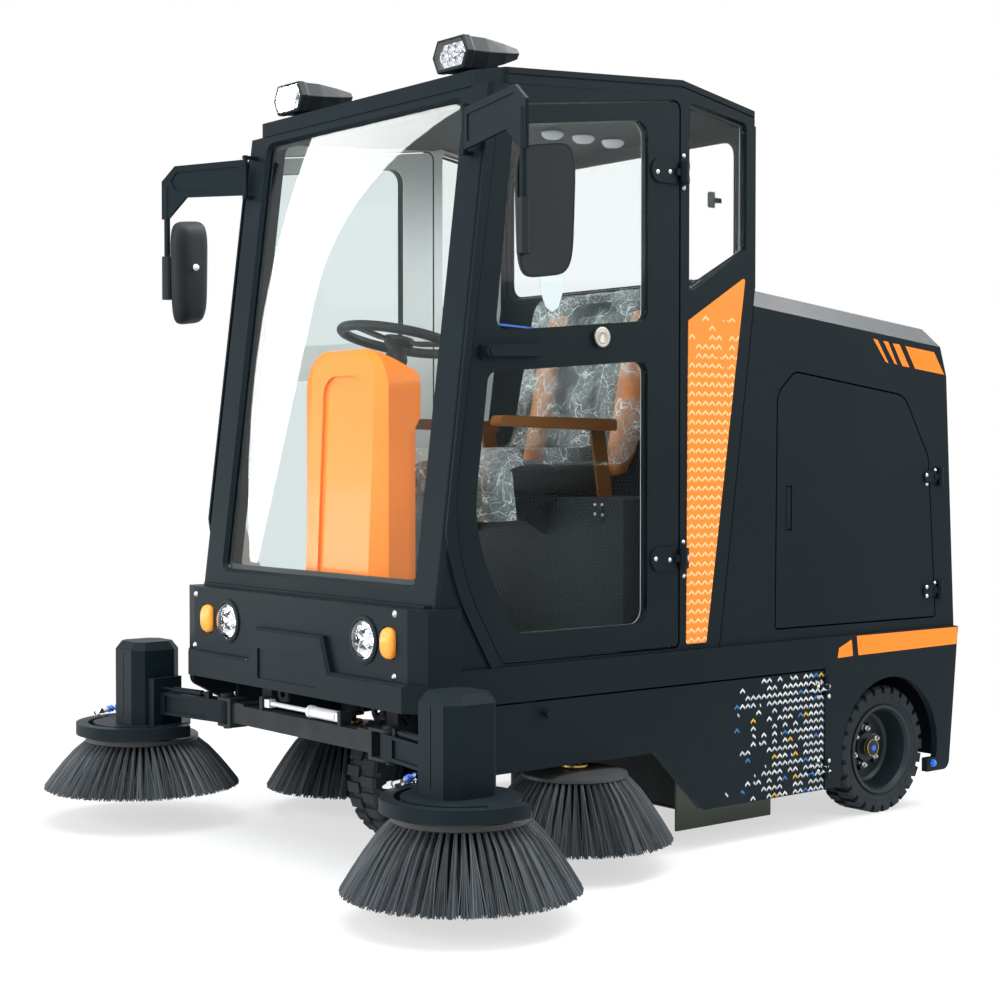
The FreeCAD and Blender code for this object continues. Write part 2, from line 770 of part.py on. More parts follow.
def hinge_post(x_face, pin_x, pin_y, z, barrel_radius, pin_radius):
    """The fixed half of a hinge: two ears on the body and the pin through them."""
    parts = [upright(pin_x, pin_y, z - 28, z + 28, pin_radius)]
    for z0, z1 in ((z - 28, z - 9.5), (z + 9.5, z + 28)):
        parts.append(upright(pin_x, pin_y, z0, z1, barrel_radius))
        parts.append(block(x_face, pin_x, pin_y + 2, pin_y + 21, z0, z1))
    return joined(parts)


door_hinge_x = upper_half_width + 14.0
door_hinge_y = door_rear_y + 6.0
door_hinge_heights = (sill_top + 254.0, roof_front_z - 207.0)


def make_door_handle():
    """Left door's outside handle: a long paddle on a flat base near the front edge."""
    z = belt_z - 34.0
    y = door_front_y(z) + 22.0
    base = side_plate([(y, z - 25), (y + 64, z - 22), (y + 64, z + 15), (y, z + 13)], upper_half_width,
                      upper_half_width + 10, 6.0)
    grip = side_plate([(y + 5, z - 18), (y + 200, z - 12), (y + 200, z + 22), (y + 5, z + 10)],
                      upper_half_width + 10, upper_half_width + 26, [9.0, 4.0, 4.0, 9.0])
    button = rod((upper_half_width + 25, y + 24, z - 3), (upper_half_width + 29, y + 24, z - 3), 11.0)
    lock_y = door_hinge_y - 294
    lock_z = z + 45.0
    ring = rod((upper_half_width, lock_y, lock_z), (upper_half_width + 6, lock_y, lock_z), 26.0)
    core = rod((upper_half_width, lock_y, lock_z), (upper_half_width + 10, lock_y, lock_z), 17.0)
    return [joined([base, grip, button]), joined([ring, core])]


def make_cab_door():
    """The complete left cab door apart from its glass."""
    leaves = [hinge_leaf(upper_half_width, door_hinge_x, door_hinge_y, z, 112.0, 32.0, 12.0, 7.0)
              for z in door_hinge_heights]
    return joined([make_door_frame()] + make_door_handle() + leaves)


def make_door_hinge_posts():
    """The body's halves of the left door's hinges."""
    return [hinge_post(upper_half_width, door_hinge_x, door_hinge_y, z, 12.0, 7.0) for z in door_hinge_heights]


housing_door_outline = [
    (cab_rear_y + 89.0, sill_top + 39.0),
    (cab_rear_y + 95.0, housing_top_z(cab_rear_y + 95.0) - 290.0),
    (cab_rear_y + 165.0, housing_top_z(cab_rear_y + 165.0) - 220.0),
    (housing_break_y - 153.0, housing_top_z(housing_break_y - 153.0) - 228.0),
    (housing_break_y - 37.0, housing_break_z - 398.0),
    (housing_break_y + 1.0, sill_top + 35.0),
]
housing_door_radii = [8.0, 60.0, 40.0, 70.0, 60.0, 8.0]
housing_hinge_x = upper_half_width + 9.0
housing_hinge_y = housing_door_outline[5][0] + 14.0
housing_hinge_heights = (sill_top + 115.0, sill_top + 467.0)


def housing_solid(half, inset):
    """The housing's solid form, or the space inside it when it is inset by a wall."""
    low = sill_top - (1.0 if inset else 0.0)
    front = housing_front_gap + inset
    profile = [
        (post_rear_y(low) + front, low),
        (post_rear_y(waist_rear_z) + front, waist_rear_z - inset),
        (housing_break_y - inset, housing_break_z - inset),
        (housing_rear_y - inset, housing_rear_z - inset),
        (housing_foot_y - inset, low),
    ]
    body = side_plate(profile, -half, half)
    start = cab_rear_y - 200
    length = housing_break_y - cab_rear_y + 400
    for side in (-1, 1):
        ridge = housing_top_z(start) - inset
        section = [
            Vector(side * (half + 1), start, ridge - housing_bevel - 1),
            Vector(side * (half + 1), start, ridge + 60),
            Vector(side * (half - housing_bevel), start, ridge + 60),
            Vector(side * (half - housing_bevel), start, ridge),
        ]
        wedge = Part.Face(Part.makePolygon(section + [section[0]]))
        body = body.cut(wedge.extrude(Vector(0, length, housing_top_z(start + length) - housing_top_z(start))))
    return body


def make_housing():
    """Rear housing: a hollow folded shell with bevelled top edges, an opening on each side and hinge ears."""
    half = upper_half_width
    shell = housing_solid(half, 0.0).cut(housing_solid(half - housing_wall, housing_wall))
    opening = side_plate(housing_door_outline, half - housing_wall - 30, half + 10, housing_door_radii, lid_gap)
    shell = shell.cut(opening).cut(mirrored(opening))
    posts = [hinge_post(half, housing_hinge_x, housing_hinge_y, z, 8.0, 4.0) for z in housing_hinge_heights]
    return shell.fuse(posts + [mirrored(post) for post in posts])


def make_housing_door():
    """Left side door of the rear housing, with a sunk handle, a folded rim and hinge leaves."""
    half = upper_half_width
    door = side_plate(housing_door_outline, half - housing_wall, half, housing_door_radii)
    handle_y = housing_door_outline[0][0] + 53.0
    handle_z = sill_top + 382.0
    pocket = block(half - 6, half + 1, handle_y - 13, handle_y + 13, handle_z - 65, handle_z + 65)
    handle = block(half - 6, half - 1, handle_y - 9, handle_y + 9, handle_z - 60, handle_z + 60)
    leaves = [hinge_leaf(half, housing_hinge_x, housing_hinge_y, z, 72.0, 18.0, 8.0, 4.0)
              for z in housing_hinge_heights]
    return joined([door.cut(pocket), handle] + leaves)


skirt_hinge_x = lower_half_width + 9.0
skirt_hinge_y_line = skirt_hinge_y + lid_gap / 2.0
skirt_hinge_heights = (skirt_low + 62.0, skirt_door_top - 53.0)


def make_skirt_door():
    """Left lower skirt door, hinged at its rear edge, with a pull knob at the front."""
    half = lower_half_width
    points = [
        (skirt_front_y, skirt_door_top - lid_gap),
        (skirt_hinge_y, skirt_door_top - lid_gap),
        (skirt_hinge_y, skirt_low),
        (skirt_hinge_y - 498.0, skirt_low),
        (skirt_hinge_y - 677.0, sill_low),
        (skirt_front_y, sill_low),
    ]
    door = side_plate(points, half - 20.0, half, [8.0, 8.0, 6.0, 20.0, 30.0, 20.0])
    knob_y = inner_brush_y - 157.0
    knob_z = skirt_door_top - 35.0
    stem = rod((half, knob_y, knob_z), (half + 14, knob_y, knob_z), 7.0)
    head = rod((half + 12, knob_y, knob_z), (half + 24, knob_y, knob_z), 12.0)
    leaves = [hinge_leaf(half, skirt_hinge_x, skirt_hinge_y_line, z, 66.0, 18.0, 8.0, 4.0)
              for z in skirt_hinge_heights]
    return joined([door, stem, head] + leaves)


def make_skirt_hinge_posts():
    """The lower body's halves of the left skirt door's hinges."""
    return [hinge_post(lower_half_width, skirt_hinge_x, skirt_hinge_y_line, z, 8.0, 4.0)
            for z in skirt_hinge_heights]


def make_tail_lamp(z0, z1):
    """One left tail lamp on the housing's rear face."""
    x = upper_half_width - 71.0
    z = (z0 + z1) / 2.0
    share = (z - sill_top) / (housing_rear_z - sill_top)
    y = housing_foot_y + share * (housing_rear_y - housing_foot_y)
    lean = math.degrees(math.atan2(housing_foot_y - housing_rear_y, housing_rear_z - sill_top))
    lamp = block(x - 32, x + 32, y, y + 30, z0, z1)
    lamp = lamp.makeFillet(9.0, [e for e in lamp.Edges if e.BoundBox.YMin > y + 29])
    lamp.rotate(Vector(x, y, z), Vector(1, 0, 0), lean)
    return lamp


def make_tyre(centre, width, inner):
    """A solid tyre with square shoulder lugs. The axle runs along X, and inner is the rim's radius."""
    half = width / 2.0
    tread = wheel_radius - lug_height
    profile = [
        (inner, -half * 0.8), (inner + 16, -half * 0.94), (tread - 14, -half * 0.97), (tread, -half * 0.7),
        (tread, half * 0.7), (tread - 14, half * 0.97), (inner + 16, half * 0.94), (inner, half * 0.8),
    ]
    body = turned(profile, centre, (1, 0, 0))
    pitch = 360.0 / lug_count
    lug_half = math.pi * wheel_radius / lug_count * 0.62
    pieces = []
    for i in range(lug_count):
        for side in (-1, 1):
            x_in = centre[0] + side * half * 0.08
            x_out = centre[0] + side * half * 0.97
            top = centre[2] + wheel_radius
            section = [(x_in, top), (x_in, top - lug_height - 6), (x_out, top - lug_height - 30),
                       (x_out, top - 8), (x_out - side * 8, top)]
            lug = front_plate(section, centre[1] - lug_half, centre[1] + lug_half)
            lug.rotate(Vector(*centre), Vector(1, 0, 0), i * pitch + (pitch / 2.0 if side > 0 else 0.0))
            pieces.append(lug)
    return body.fuse(pieces)


def make_rim(centre, width, inner, bore, dish):
    """A steel rim: a barrel under the tyre, a plate set inward of its +X edge by the dish, and six nuts."""
    half = width / 2.0 * 0.8
    x, y, z = centre
    plate = half - dish
    skin = 6.0
    profile = [
        (bore, plate - 10), (inner - 24, plate - 10), (inner - 16, -half), (inner - 0.02, -half),
        (inner - 0.02, half), (inner - 2, half + 6), (inner - 12, half + 6), (inner - 12 - skin, half - 4),
        (inner - 30, plate + 6), (inner - 40, plate), (48, plate), (44, plate + 16), (bore, plate + 16),
    ]
    rim = turned(profile, centre, (1, 0, 0))
    nuts = []
    for i in range(6):
        angle = math.radians(60 * i + 15)
        hexagon = [(y + 64 * math.cos(angle) + 10 * math.cos(math.radians(60 * k)),
                    z + 64 * math.sin(angle) + 10 * math.sin(math.radians(60 * k))) for k in range(6)]
        nuts.append(side_plate(hexagon, x + plate - 1, x + plate + 13))
    return joined([rim] + nuts)


def make_fork():
    """Steering fork: a crown under the steering head, a pin through it and two legs to the axle."""
    half = front_tyre_width / 2.0 + 10.0
    leg = 14.0
    crown_high = rail_low - 20.0
    crown_low = crown_high - crown_thickness
    crown = block(-half - leg, half + leg, front_wheel_y - 60, front_wheel_y + 60, crown_low, crown_high)
    pieces = [crown, upright(0, front_wheel_y, crown_low, floor_z - 2, steer_pin_radius)]
    for side in (-1, 1):
        points = [(front_wheel_y - 60, crown_high), (front_wheel_y + 60, crown_high),
                  (front_wheel_y + 34, wheel_radius - 34), (front_wheel_y - 34, wheel_radius - 34)]
        pieces.append(side_plate(points, side * half, side * (half + leg), [4.0, 4.0, 30.0, 30.0]))
    reach = half + leg + 8.0
    pieces.append(rod((-reach, front_wheel_y, wheel_radius), (reach, front_wheel_y, wheel_radius), front_axle_radius))
    return joined(pieces)


def make_rear_axle():
    """Rear axle: a square beam under the hangers, a drive housing in its middle and a shaft at each end."""
    x_in = rear_tyre_outer_x - rear_tyre_width - 14.0
    beam = block(-x_in, x_in, rear_wheel_y - axle_half, rear_wheel_y + axle_half, wheel_radius - axle_half,
                 wheel_radius + axle_half)
    reach = rear_tyre_outer_x - 40.0
    shaft = rod((-reach, rear_wheel_y, wheel_radius), (reach, rear_wheel_y, wheel_radius), rear_shaft_radius)
    drive = turned([(0, -70), (55, -70), (82, -40), (82, 40), (55, 70), (0, 70)],
                   (0, rear_wheel_y, wheel_radius), (1, 0, 0))
    motor = rod((0, rear_wheel_y - 40, wheel_radius + 8), (0, rear_wheel_y - 260, wheel_radius + 8), 62.0)
    return joined([beam, shaft, drive, motor])


def brush_quad(cx, cy, r, z, angle, half_width, half_depth):
    """The corners of a small rectangle square to the radius at an angle: one end of a tuft."""
    out = Vector(math.cos(angle), math.sin(angle), 0)
    along = Vector(-math.sin(angle), math.cos(angle), 0)
    centre = Vector(cx, cy, z) + out * r
    return [
        centre + out * half_depth + along * half_width,
        centre - out * half_depth + along * half_width,
        centre - out * half_depth - along * half_width,
        centre + out * half_depth - along * half_width,
    ]


def make_brush(centre_x, centre_y, radius, low, disc_radius, disc_low, disc_high):
    """A cup brush: a round backing disc that carries a flared ring of bristle tufts."""
    step = 8.0
    disc = turned([(0, disc_low), (disc_radius - step, disc_low), (disc_radius, disc_low + step),
                   (disc_radius, disc_high - step), (disc_radius - step, disc_high), (0, disc_high)],
                  (centre_x, centre_y, 0), (0, 0, 1))
    pieces = [disc]
    for i in range(tuft_count):
        angle = 2 * math.pi * i / tuft_count
        root = brush_quad(centre_x, centre_y, disc_radius - 16, disc_low + 4, angle, 8.0, 7.0)
        tip = brush_quad(centre_x, centre_y, radius - 10, low, angle, 20.0, 10.0)
        pieces.append(tapered(root, tip))
    return joined(pieces)


def octagon(x, y, half, share):
    """Plan corners of a square with its corners cut, shrunk about its centre by a share."""
    big = half * share
    small = half * share * 0.62
    signs = ((1, 1), (-1, 1), (-1, -1), (1, -1))
    points = []
    for sx, sy in signs:
        first = (x + sx * big, y + sy * small)
        second = (x + sx * small, y + sy * big)
        points += [first, second] if sx * sy > 0 else [second, first]
    return points


def make_front_arm():
    """Left front brush arm: box link, holding strut, motor cover on its bracket, guard ring and shaft."""
    x = front_brush_x - motor_inset
    y = front_brush_y + motor_inset / 4.0
    length = math.hypot(x - arm_pivot_x, y - arm_pivot_y)
    heading = math.degrees(math.atan2(y - arm_pivot_y, x - arm_pivot_x))
    link_end = length - motor_half + 4
    link = block(0, link_end, -27, 27, arm_z - arm_half, arm_z + arm_half)
    link = link.cut(block(62, link_end - 40, -28, -20, arm_z - arm_half + 9, arm_z + arm_half - 9))
    eye = upright(0, 0, arm_z - arm_half, arm_z + arm_half, 27.0)
    cheek = block(link_end - 22, link_end + 10, -52, 52, motor_low, arm_z + arm_half + 42)
    strut_y = -15.0
    strut_z = arm_z + arm_half + 11
    strut_end = link_end - 22
    strut = joined([rod((64, strut_y, strut_z), (strut_end, strut_y, strut_z), 4.5),
                    rod((92, strut_y, strut_z), (strut_end - 52, strut_y, strut_z), 9.0),
                    block(56, 72, strut_y - 8, strut_y + 8, arm_z + arm_half - 1, strut_z + 8)])
    arm = joined([link, eye, cheek, strut]).cut(upright(0, 0, arm_z - 80, arm_z + 80, arm_pin_radius + running_gap))
    arm.rotate(Vector(0, 0, 0), Vector(0, 0, 1), heading)
    arm.translate(Vector(arm_pivot_x, arm_pivot_y, 0))
    high = motor_low + motor_height
    corners = octagon(x, y, motor_half, 1.0)
    cover = plan_plate(corners, motor_low - 1, high - 24)
    cap = tapered([Vector(px, py, high - 24) for px, py in corners],
                  [Vector(px, py, high) for px, py in octagon(x, y, motor_half, 0.8)])
    seam = block(x - 1.5, x + 1.5, y - motor_half - 1, y - motor_half + 2, motor_low + 20, high - 30)
    bx = front_brush_x
    by = front_brush_y
    plate = upright(bx, by, motor_low - 12, motor_low, guard_radius - 50)
    web = block(bx - guard_radius + 4, bx + guard_radius - 4, by - 34, by + 34, motor_low - 8, motor_low)
    band = turned([(guard_radius - 6, motor_low - guard_depth), (guard_radius, motor_low - guard_depth),
                   (guard_radius, motor_low), (guard_radius - 34, motor_low), (guard_radius - 34, motor_low - 6),
                   (guard_radius - 6, motor_low - 6)], (bx, by, 0), (0, 0, 1))
    behind = block(bx - guard_radius - 5, bx + guard_radius + 5, by + 60, by + guard_radius + 5, motor_low - 50,
                   motor_low + 10)
    shaft = upright(bx, by, front_disc_high + seat_gap, motor_low - 1, brush_shaft_radius)
    return joined([arm, cover.cut(seam), cap, plate, web, band.cut(behind), shaft])


def make_front_beam():
    """Cross beam under the bumper: a clevis and pin for each brush arm, two hangers and a lift actuator."""
    reach = arm_pivot_x - 45
    cheek = arm_half + 1.0
    beam = block(-reach, reach, arm_pivot_y - 20, arm_pivot_y + 20, arm_z - 26, arm_z + 26)
    pieces = [beam]
    for side in (-1, 1):
        for z0 in (arm_z - cheek - 8, arm_z + cheek):
            plate = plan_plate([(side * (arm_pivot_x - 60), arm_pivot_y - 28), (side * (arm_pivot_x + 28), arm_pivot_y - 28),
                                (side * (arm_pivot_x + 28), arm_pivot_y + 28), (side * (arm_pivot_x - 60), arm_pivot_y + 28)],
                               z0, z0 + 8, [2.0, 26.0, 26.0, 2.0])
            pieces.append(plate)
        pieces.append(block(side * (arm_pivot_x - 60), side * reach, arm_pivot_y - 28, arm_pivot_y + 28,
                            arm_z - cheek - 8, arm_z + cheek + 8))
        pieces.append(upright(side * arm_pivot_x, arm_pivot_y, arm_z - cheek - 17, arm_z + cheek + 17, arm_pin_radius))
        pieces.append(upright(side * arm_pivot_x, arm_pivot_y, arm_z + cheek + 8, arm_z + cheek + 16,
                              arm_pin_radius + 8))
        hx = side * (rail_in + rail_out) / 2.0
        pieces.append(block(hx - 25, hx + 25, arm_pivot_y - 20, bumper_back_y, arm_z + 20, arm_z + 32))
        pieces.append(block(hx - 25, hx + 25, bumper_back_y - 12, bumper_back_y, arm_z + 20, floor_z))
        pieces.append(block(side * lift_lug_x - 7, side * lift_lug_x + 7, arm_pivot_y - 18, arm_pivot_y + 18, arm_z + 25,
                            arm_z + 62))
    return joined(pieces)


def make_lift_cylinder():
    """Cylinder that lies along the beam between two lugs: a thick barrel, a thin rod and an eye at each end."""
    z = arm_z + 45.0
    y = arm_pivot_y
    end_x = lift_lug_x - 7.0 - seat_gap
    barrel = rod((40, y, z), (end_x - 22, y, z), 15.0)
    gland = rod((31, y, z), (45, y, z), 17.0)
    shaft = rod((-end_x + 18, y, z), (40, y, z), 6.5)
    pieces = [barrel, gland, shaft]
    for x0, x1 in ((-end_x, -end_x + 24), (end_x - 24, end_x)):
        pieces.append(block(x0, x1, y - 11, y + 11, z - 11, z + 11))
    return joined(pieces)


def make_inner_motors():
    """Left drive of the inner side brush: a round motor on a bracket from the chassis rail."""
    x = inner_brush_x
    y = inner_brush_y
    base = inner_disc_high + 28.0
    shelf = rail_low - 20.0
    motor = upright(x, y, base, shelf, 34.0)
    flange = upright(x, y, base, base + 10, 38.0)
    bracket = block(rail_out, x + 30, y - 40, y + 40, shelf, shelf + 12)
    lug = block(rail_out, rail_out + 12, y - 40, y + 40, shelf, floor_z)
    shaft = upright(x, y, inner_disc_high + seat_gap, base, brush_shaft_radius)
    return joined([motor, flange, bracket, lug, shaft])


def make_roller():
    """Main roller brush: a core with rows of bristles, on a shaft along X."""
    half = roller_half_length
    pieces = [rod((-half, roller_y, roller_z), (half, roller_y, roller_z), roller_core_radius)]
    rows = 14
    for i in range(rows):
        fin = block(-half, half, roller_y - 9, roller_y + 9, roller_z + roller_core_radius - 10,
                    roller_z + roller_radius - 2)
        fin.rotate(Vector(0, roller_y, roller_z), Vector(1, 0, 0), 360.0 / rows * i)
        pieces.append(fin)
    pieces.append(rod((-half - 18, roller_y, roller_z), (half + 18, roller_y, roller_z), roller_shaft_radius))
    return joined(pieces)


def make_roller_hood():
    """Hood over the main roller: a folded sheet with end plates that carry the shaft."""
    half = roller_half_length + 12
    t = 8.0
    top = rail_low - 60.0
    low = hood_foot_z
    fold = hood_fold
    front = roller_y - roller_radius - hood_gap
    rear = roller_y + roller_radius + hood_gap
    sheet = side_plate([(front, low), (front, top - fold), (front + fold, top), (rear, top), (rear, top - t),
                        (front + fold + 4, top - t), (front + t, top - fold - 4), (front + t, low)],
                       -half - t, half + t)
    pieces = [sheet]
    for side in (-1, 1):
        end = side_plate([(front + 2, low + fold), (front + 2, top - fold - 1), (front + fold + 1, top - 2),
                          (rear, top - 2), (rear, low + 3 * fold + 10), (rear - 2 * fold, low + fold)],
                         min(side * half, side * (half + t)), max(side * half, side * (half + t)))
        pieces.append(end)
        hx = side * (rail_in + rail_out) / 2.0
        pieces.append(block(hx - 20, hx + 20, roller_y - 60, roller_y + 60, top - 4, rail_low))
    hood = joined(pieces)
    bore = roller_shaft_radius + running_gap + 0.01
    return hood.cut(rod((-half - 40, roller_y, roller_z), (half + 40, roller_y, roller_z), bore))


def make_debris_flap():
    """Left rubber flap beside the main roller, clamped to the hood's end plate."""
    x = roller_half_length + 20
    return block(x, x + 7, roller_y - 200, roller_y + 195, 3, 170)


def make_cowl():
    """Instrument cowl: a tall rounded cover whose nose leans back under the windscreen, with a sunk panel."""
    low = floor_z + floor_thickness
    high = cowl_top_z
    half = cowl_half_width
    bevel = 46.0
    break_y = cowl_front_y + cowl_lean
    round_top = 110.0

    def nose_y(z):
        return cowl_front_y + cowl_lean * (z - low) / (high - low)

    def arch(half_width, bottom, top, radii, place):
        corners = [(-half_width, bottom), (half_width, bottom), (half_width, top), (-half_width, top)]
        return outline([Vector(x, place(z), z) for x, z in corners], radii)

    widest = arch(half, low, high, [0.0, 0.0, round_top, round_top], lambda z: break_y + 8.0)
    tip = arch(half - bevel, low, high - 14, [0.0, 0.0, round_top - bevel, round_top - bevel], nose_y)
    body = Part.Face(widest).extrude(Vector(0, cowl_rear_y - break_y - 8.0, 0))
    nose = Part.makeLoft([tip, widest], True, True)
    shoulder = side_plate([(break_y + 8, high + 1), (cowl_rear_y + 1, high - 64), (cowl_rear_y + 1, high + 1)],
                          -half - 1, half + 1)
    sunk = arch(half - bevel - 58, low + 40, high - 70, [12.0, 12.0, 52.0, 52.0], lambda z: nose_y(z) - 1.0)
    cowl = joined([body, nose]).cut(shoulder).cut(Part.Face(sunk).extrude(Vector(0, 10, 0)))
    notch = side_plate([(cowl_rear_y - 34, low - 1), (cowl_rear_y - 34, high - 240), (cowl_rear_y + 1, high - 180),
                        (cowl_rear_y + 1, low - 1)], half - 24, half + 1, [0.0, 30.0, 0.0, 0.0])
    return cowl.cut(notch).cut(mirrored(notch))


def tilted(shape):
    """Lean a piece built upright at the origin to the steering wheel's angle and move it to the hub."""
    shape.rotate(Vector(0, 0, 0), Vector(1, 0, 0), -steering_tilt)
    shape.translate(Vector(*steering_hub))
    return shape


def make_steering_wheel():
    """Steering wheel: a round rim with three dished spokes and a hub, tilted towards the driver."""
    grip = 14.0
    ring = [(steering_radius + grip * math.cos(math.radians(30 * k)), 12 + grip * math.sin(math.radians(30 * k)))
            for k in range(12)]
    rim = turned(ring, (0, 0, 0), (0, 0, 1))
    hub = turned([(0, -12), (34, -12), (44, 6), (40, 18), (0, 20)], (0, 0, 0), (0, 0, 1))
    pieces = [rim, hub]
    for angle in (30, 150, 270):
        spoke = side_plate([(20, 2), (60, 0), (steering_radius - 4, 8), (steering_radius - 4, 16), (60, 9),
                            (20, 12)], -15, 15)
        spoke.rotate(Vector(0, 0, 0), Vector(0, 0, 1), angle - 90)
        pieces.append(spoke)
    return tilted(joined(pieces))


def make_steering_column():
    """Steering column: a tube in line with the wheel's shaft, with a collar and a bracket to the cowl."""
    length = 150.0
    top = -12.0 - seat_gap
    tube = upright(0, 0, -length, top, 16.0)
    collar = turned([(15, -96), (26, -92), (33, -44), (26, -20), (15, -20)], (0, 0, 0), (0, 0, 1))
    column = tilted(joined([tube, collar]))
    foot_z = steering_hub[2] - length * math.cos(math.radians(steering_tilt))
    foot_y = steering_hub[1] - length * math.sin(math.radians(steering_tilt))
    return joined([column, block(-30, 30, cowl_rear_y, foot_y + 10, foot_z + 12, foot_z + 40)])


def make_pedals():
    """Two pedals, each a ribbed pad on a lever that hangs from the cowl's rear face."""
    pieces = []
    for side in (-1, 1):
        x = side * 120.0
        low = floor_z + floor_thickness + 24
        lever = block(x - 7, x + 7, cowl_rear_y, cowl_rear_y + 14, low + 60, low + 210)
        pad = side_plate([(cowl_rear_y + 2, low + 92), (cowl_rear_y + 28, low), (cowl_rear_y + 36, low + 3),
                          (cowl_rear_y + 10, low + 96)], x - 34, x + 34, [2.0, 2.0, 2.0, 2.0])
        pieces.append(joined([lever, pad]))
    return Part.makeCompound(pieces)


def make_seat_box():
    """Wide metal box under the seat: a lid seam all round, a hinge leaf, and a seat pan on two gussets."""
    low = floor_z + floor_thickness
    rear = post_foot_y - rear_wall_thickness - 1.0
    half = seat_box_half
    box = block(-half, half, seat_box_front_y, rear, low, seat_z)
    seam_z = seat_z - 46.0
    groove = block(-half - 1, half + 1, seat_box_front_y - 1, rear + 1, seam_z, seam_z + 4)
    groove = groove.cut(block(-half + 3, half - 3, seat_box_front_y + 3, rear - 3, seam_z - 1, seam_z + 5))
    pieces = [box.cut(groove)]
    pan_front = seat_front_y + 55.0
    pieces.append(block(-200, 200, pan_front, seat_box_front_y + 10, seat_z - 14, seat_z))
    for side in (-1, 1):
        gusset = side_plate([(seat_box_front_y + 5, seat_z - 2), (pan_front + 10, seat_z - 2), (pan_front + 10, seat_z - 22),
                             (seat_box_front_y + 5, seat_z - 110)], side * 150, side * 158)
        pieces.append(gusset)
        x = side * (half - 105)
        pieces.append(block(x - 26, x + 26, seat_box_front_y - 4, seat_box_front_y + 1, seam_z - 22, seam_z + 26))
    return joined(pieces)


def make_seat_pads():
    """Seat cushion and backrest as simple closed solids."""
    base = seat_z + seat_gap
    front = seat_front_y
    cushion = side_plate([(front, base), (front, base + 96), (front + 40, base + 128), (seat_rear_y - 120, base + 108),
                          (seat_rear_y, base + 118), (seat_rear_y, base)], -seat_half, seat_half,
                         [14.0, 40.0, 40.0, 60.0, 12.0, 8.0])
    foot = seat_rear_y + seat_gap
    back = side_plate([(foot, base + 40), (foot, base + 150), (foot + 46, base + 400), (foot + 62, base + 462),
                       (foot + 112, base + 462), (foot + 96, base + 40)], -seat_half + 10, seat_half - 10,
                      [14.0, 40.0, 60.0, 24.0, 24.0, 20.0])
    return cushion, back


def make_armrests():
    """Two armrests: a long rounded pad on a post that stands on the seat box."""
    pieces = []
    pad_z = seat_z + 188.0
    for side in (-1, 1):
        inner = side * (seat_half + 4)
        post = side_plate([(seat_rear_y - 95, seat_z), (seat_rear_y - 125, pad_z + 4), (seat_rear_y - 75, pad_z + 4),
                           (seat_rear_y - 45, seat_z)], inner, inner + side * 10)
        pad = side_plate([(seat_front_y - 40, pad_z + 12), (seat_front_y - 30, pad_z + 40), (seat_rear_y - 60, pad_z + 34),
                          (seat_rear_y - 60, pad_z)], inner, inner + side * 46, [10.0, 14.0, 10.0, 10.0])
        pieces.append(joined([post, pad]))
    return Part.makeCompound(pieces)


def make_waste_bin():
    """Waste bin: an open-topped tub between the rear wheels, with a folded rim."""
    half = upper_half_width - 171.0
    front = rear_wheel_y - 180.0
    rear = rear_wheel_y + 170.0
    high = floor_z + 580.0
    skin = 8.0
    outer = block(-half, half, front, rear, floor_z, high)
    rim = block(-half, half, front - 4, rear + 4, high - 24, high)
    inner = block(-half + skin, half - skin, front + skin, rear - skin, floor_z + 10, high + 10)
    return joined([outer, rim]).cut(inner)


def make_battery():
    """Battery pack, one plain block behind the cab's bulkhead."""
    return block(-upper_half_width + 191, upper_half_width - 191, cab_rear_y + 40, cab_rear_y + 365, floor_z,
                 floor_z + 400)


roof_lamp_x = upper_half_width - 185.0
roof_lamp_y = 10.0
roof_lamp_z = roof_front_z + 58.0


def lamp_ring(y, half_width, half_height, rise):
    """The corners of a flat hexagon, as seen from the front, at a place along the machine."""
    x = roof_lamp_x
    z = roof_lamp_z + rise
    return [Vector(x - half_width, y, z), Vector(x - half_width * 0.72, y, z + half_height),
            Vector(x + half_width * 0.72, y, z + half_height), Vector(x + half_width, y, z),
            Vector(x + half_width * 0.72, y, z - half_height), Vector(x - half_width * 0.72, y, z - half_height)]


def make_roof_lamp():
    """Left roof work lamp: a hexagonal housing that tapers to the rear, on an arched foot."""
    front = tapered(lamp_ring(roof_lamp_y, 76.0, 43.0, 0.0), lamp_ring(roof_lamp_y + 70, 72.0, 40.0, 4.0))
    tail = tapered(lamp_ring(roof_lamp_y + 70, 72.0, 40.0, 4.0), lamp_ring(roof_lamp_y + 205, 30.0, 12.0, 24.0))
    foot_y = roof_lamp_y + 95
    low = roof_z(foot_y) - 12
    arc_z = roof_lamp_z - 20
    foot = side_plate([(foot_y - 62, low), (foot_y - 34, arc_z), (foot_y + 34, arc_z), (foot_y + 62, low)],
                      roof_lamp_x - 26, roof_lamp_x + 26, [0.0, 24.0, 24.0, 0.0])
    return joined([front, tail, foot.cut(make_roof())])


def make_roof_lens():
    """Lens of the left roof work lamp."""
    return tapered(lamp_ring(roof_lamp_y - 7, 64.0, 34.0, 0.0), lamp_ring(roof_lamp_y, 70.0, 38.0, 0.0))


# Mirrors: a slanted bracket plate, a hanging rod and a head clamped to it

bracket_in = (529.0 + upper_half_width - 571.0, -57.0)
bracket_out = (bracket_in[0] + 340.0, -139.0)
bracket_thickness = 9.0
mirror_rod_radius = 9.0
mirror_rod_share = 0.945
mirror_turn = 70.0
mirror_high = roof_front_z - 246.0
mirror_height = 304.0
mirror_width = 160.0
mirror_overlap = 16.0
mirror_rise = 0.14
rod_x = bracket_in[0] + mirror_rod_share * (bracket_out[0] - bracket_in[0])
rod_y = bracket_in[1] + mirror_rod_share * (bracket_out[1] - bracket_in[1])


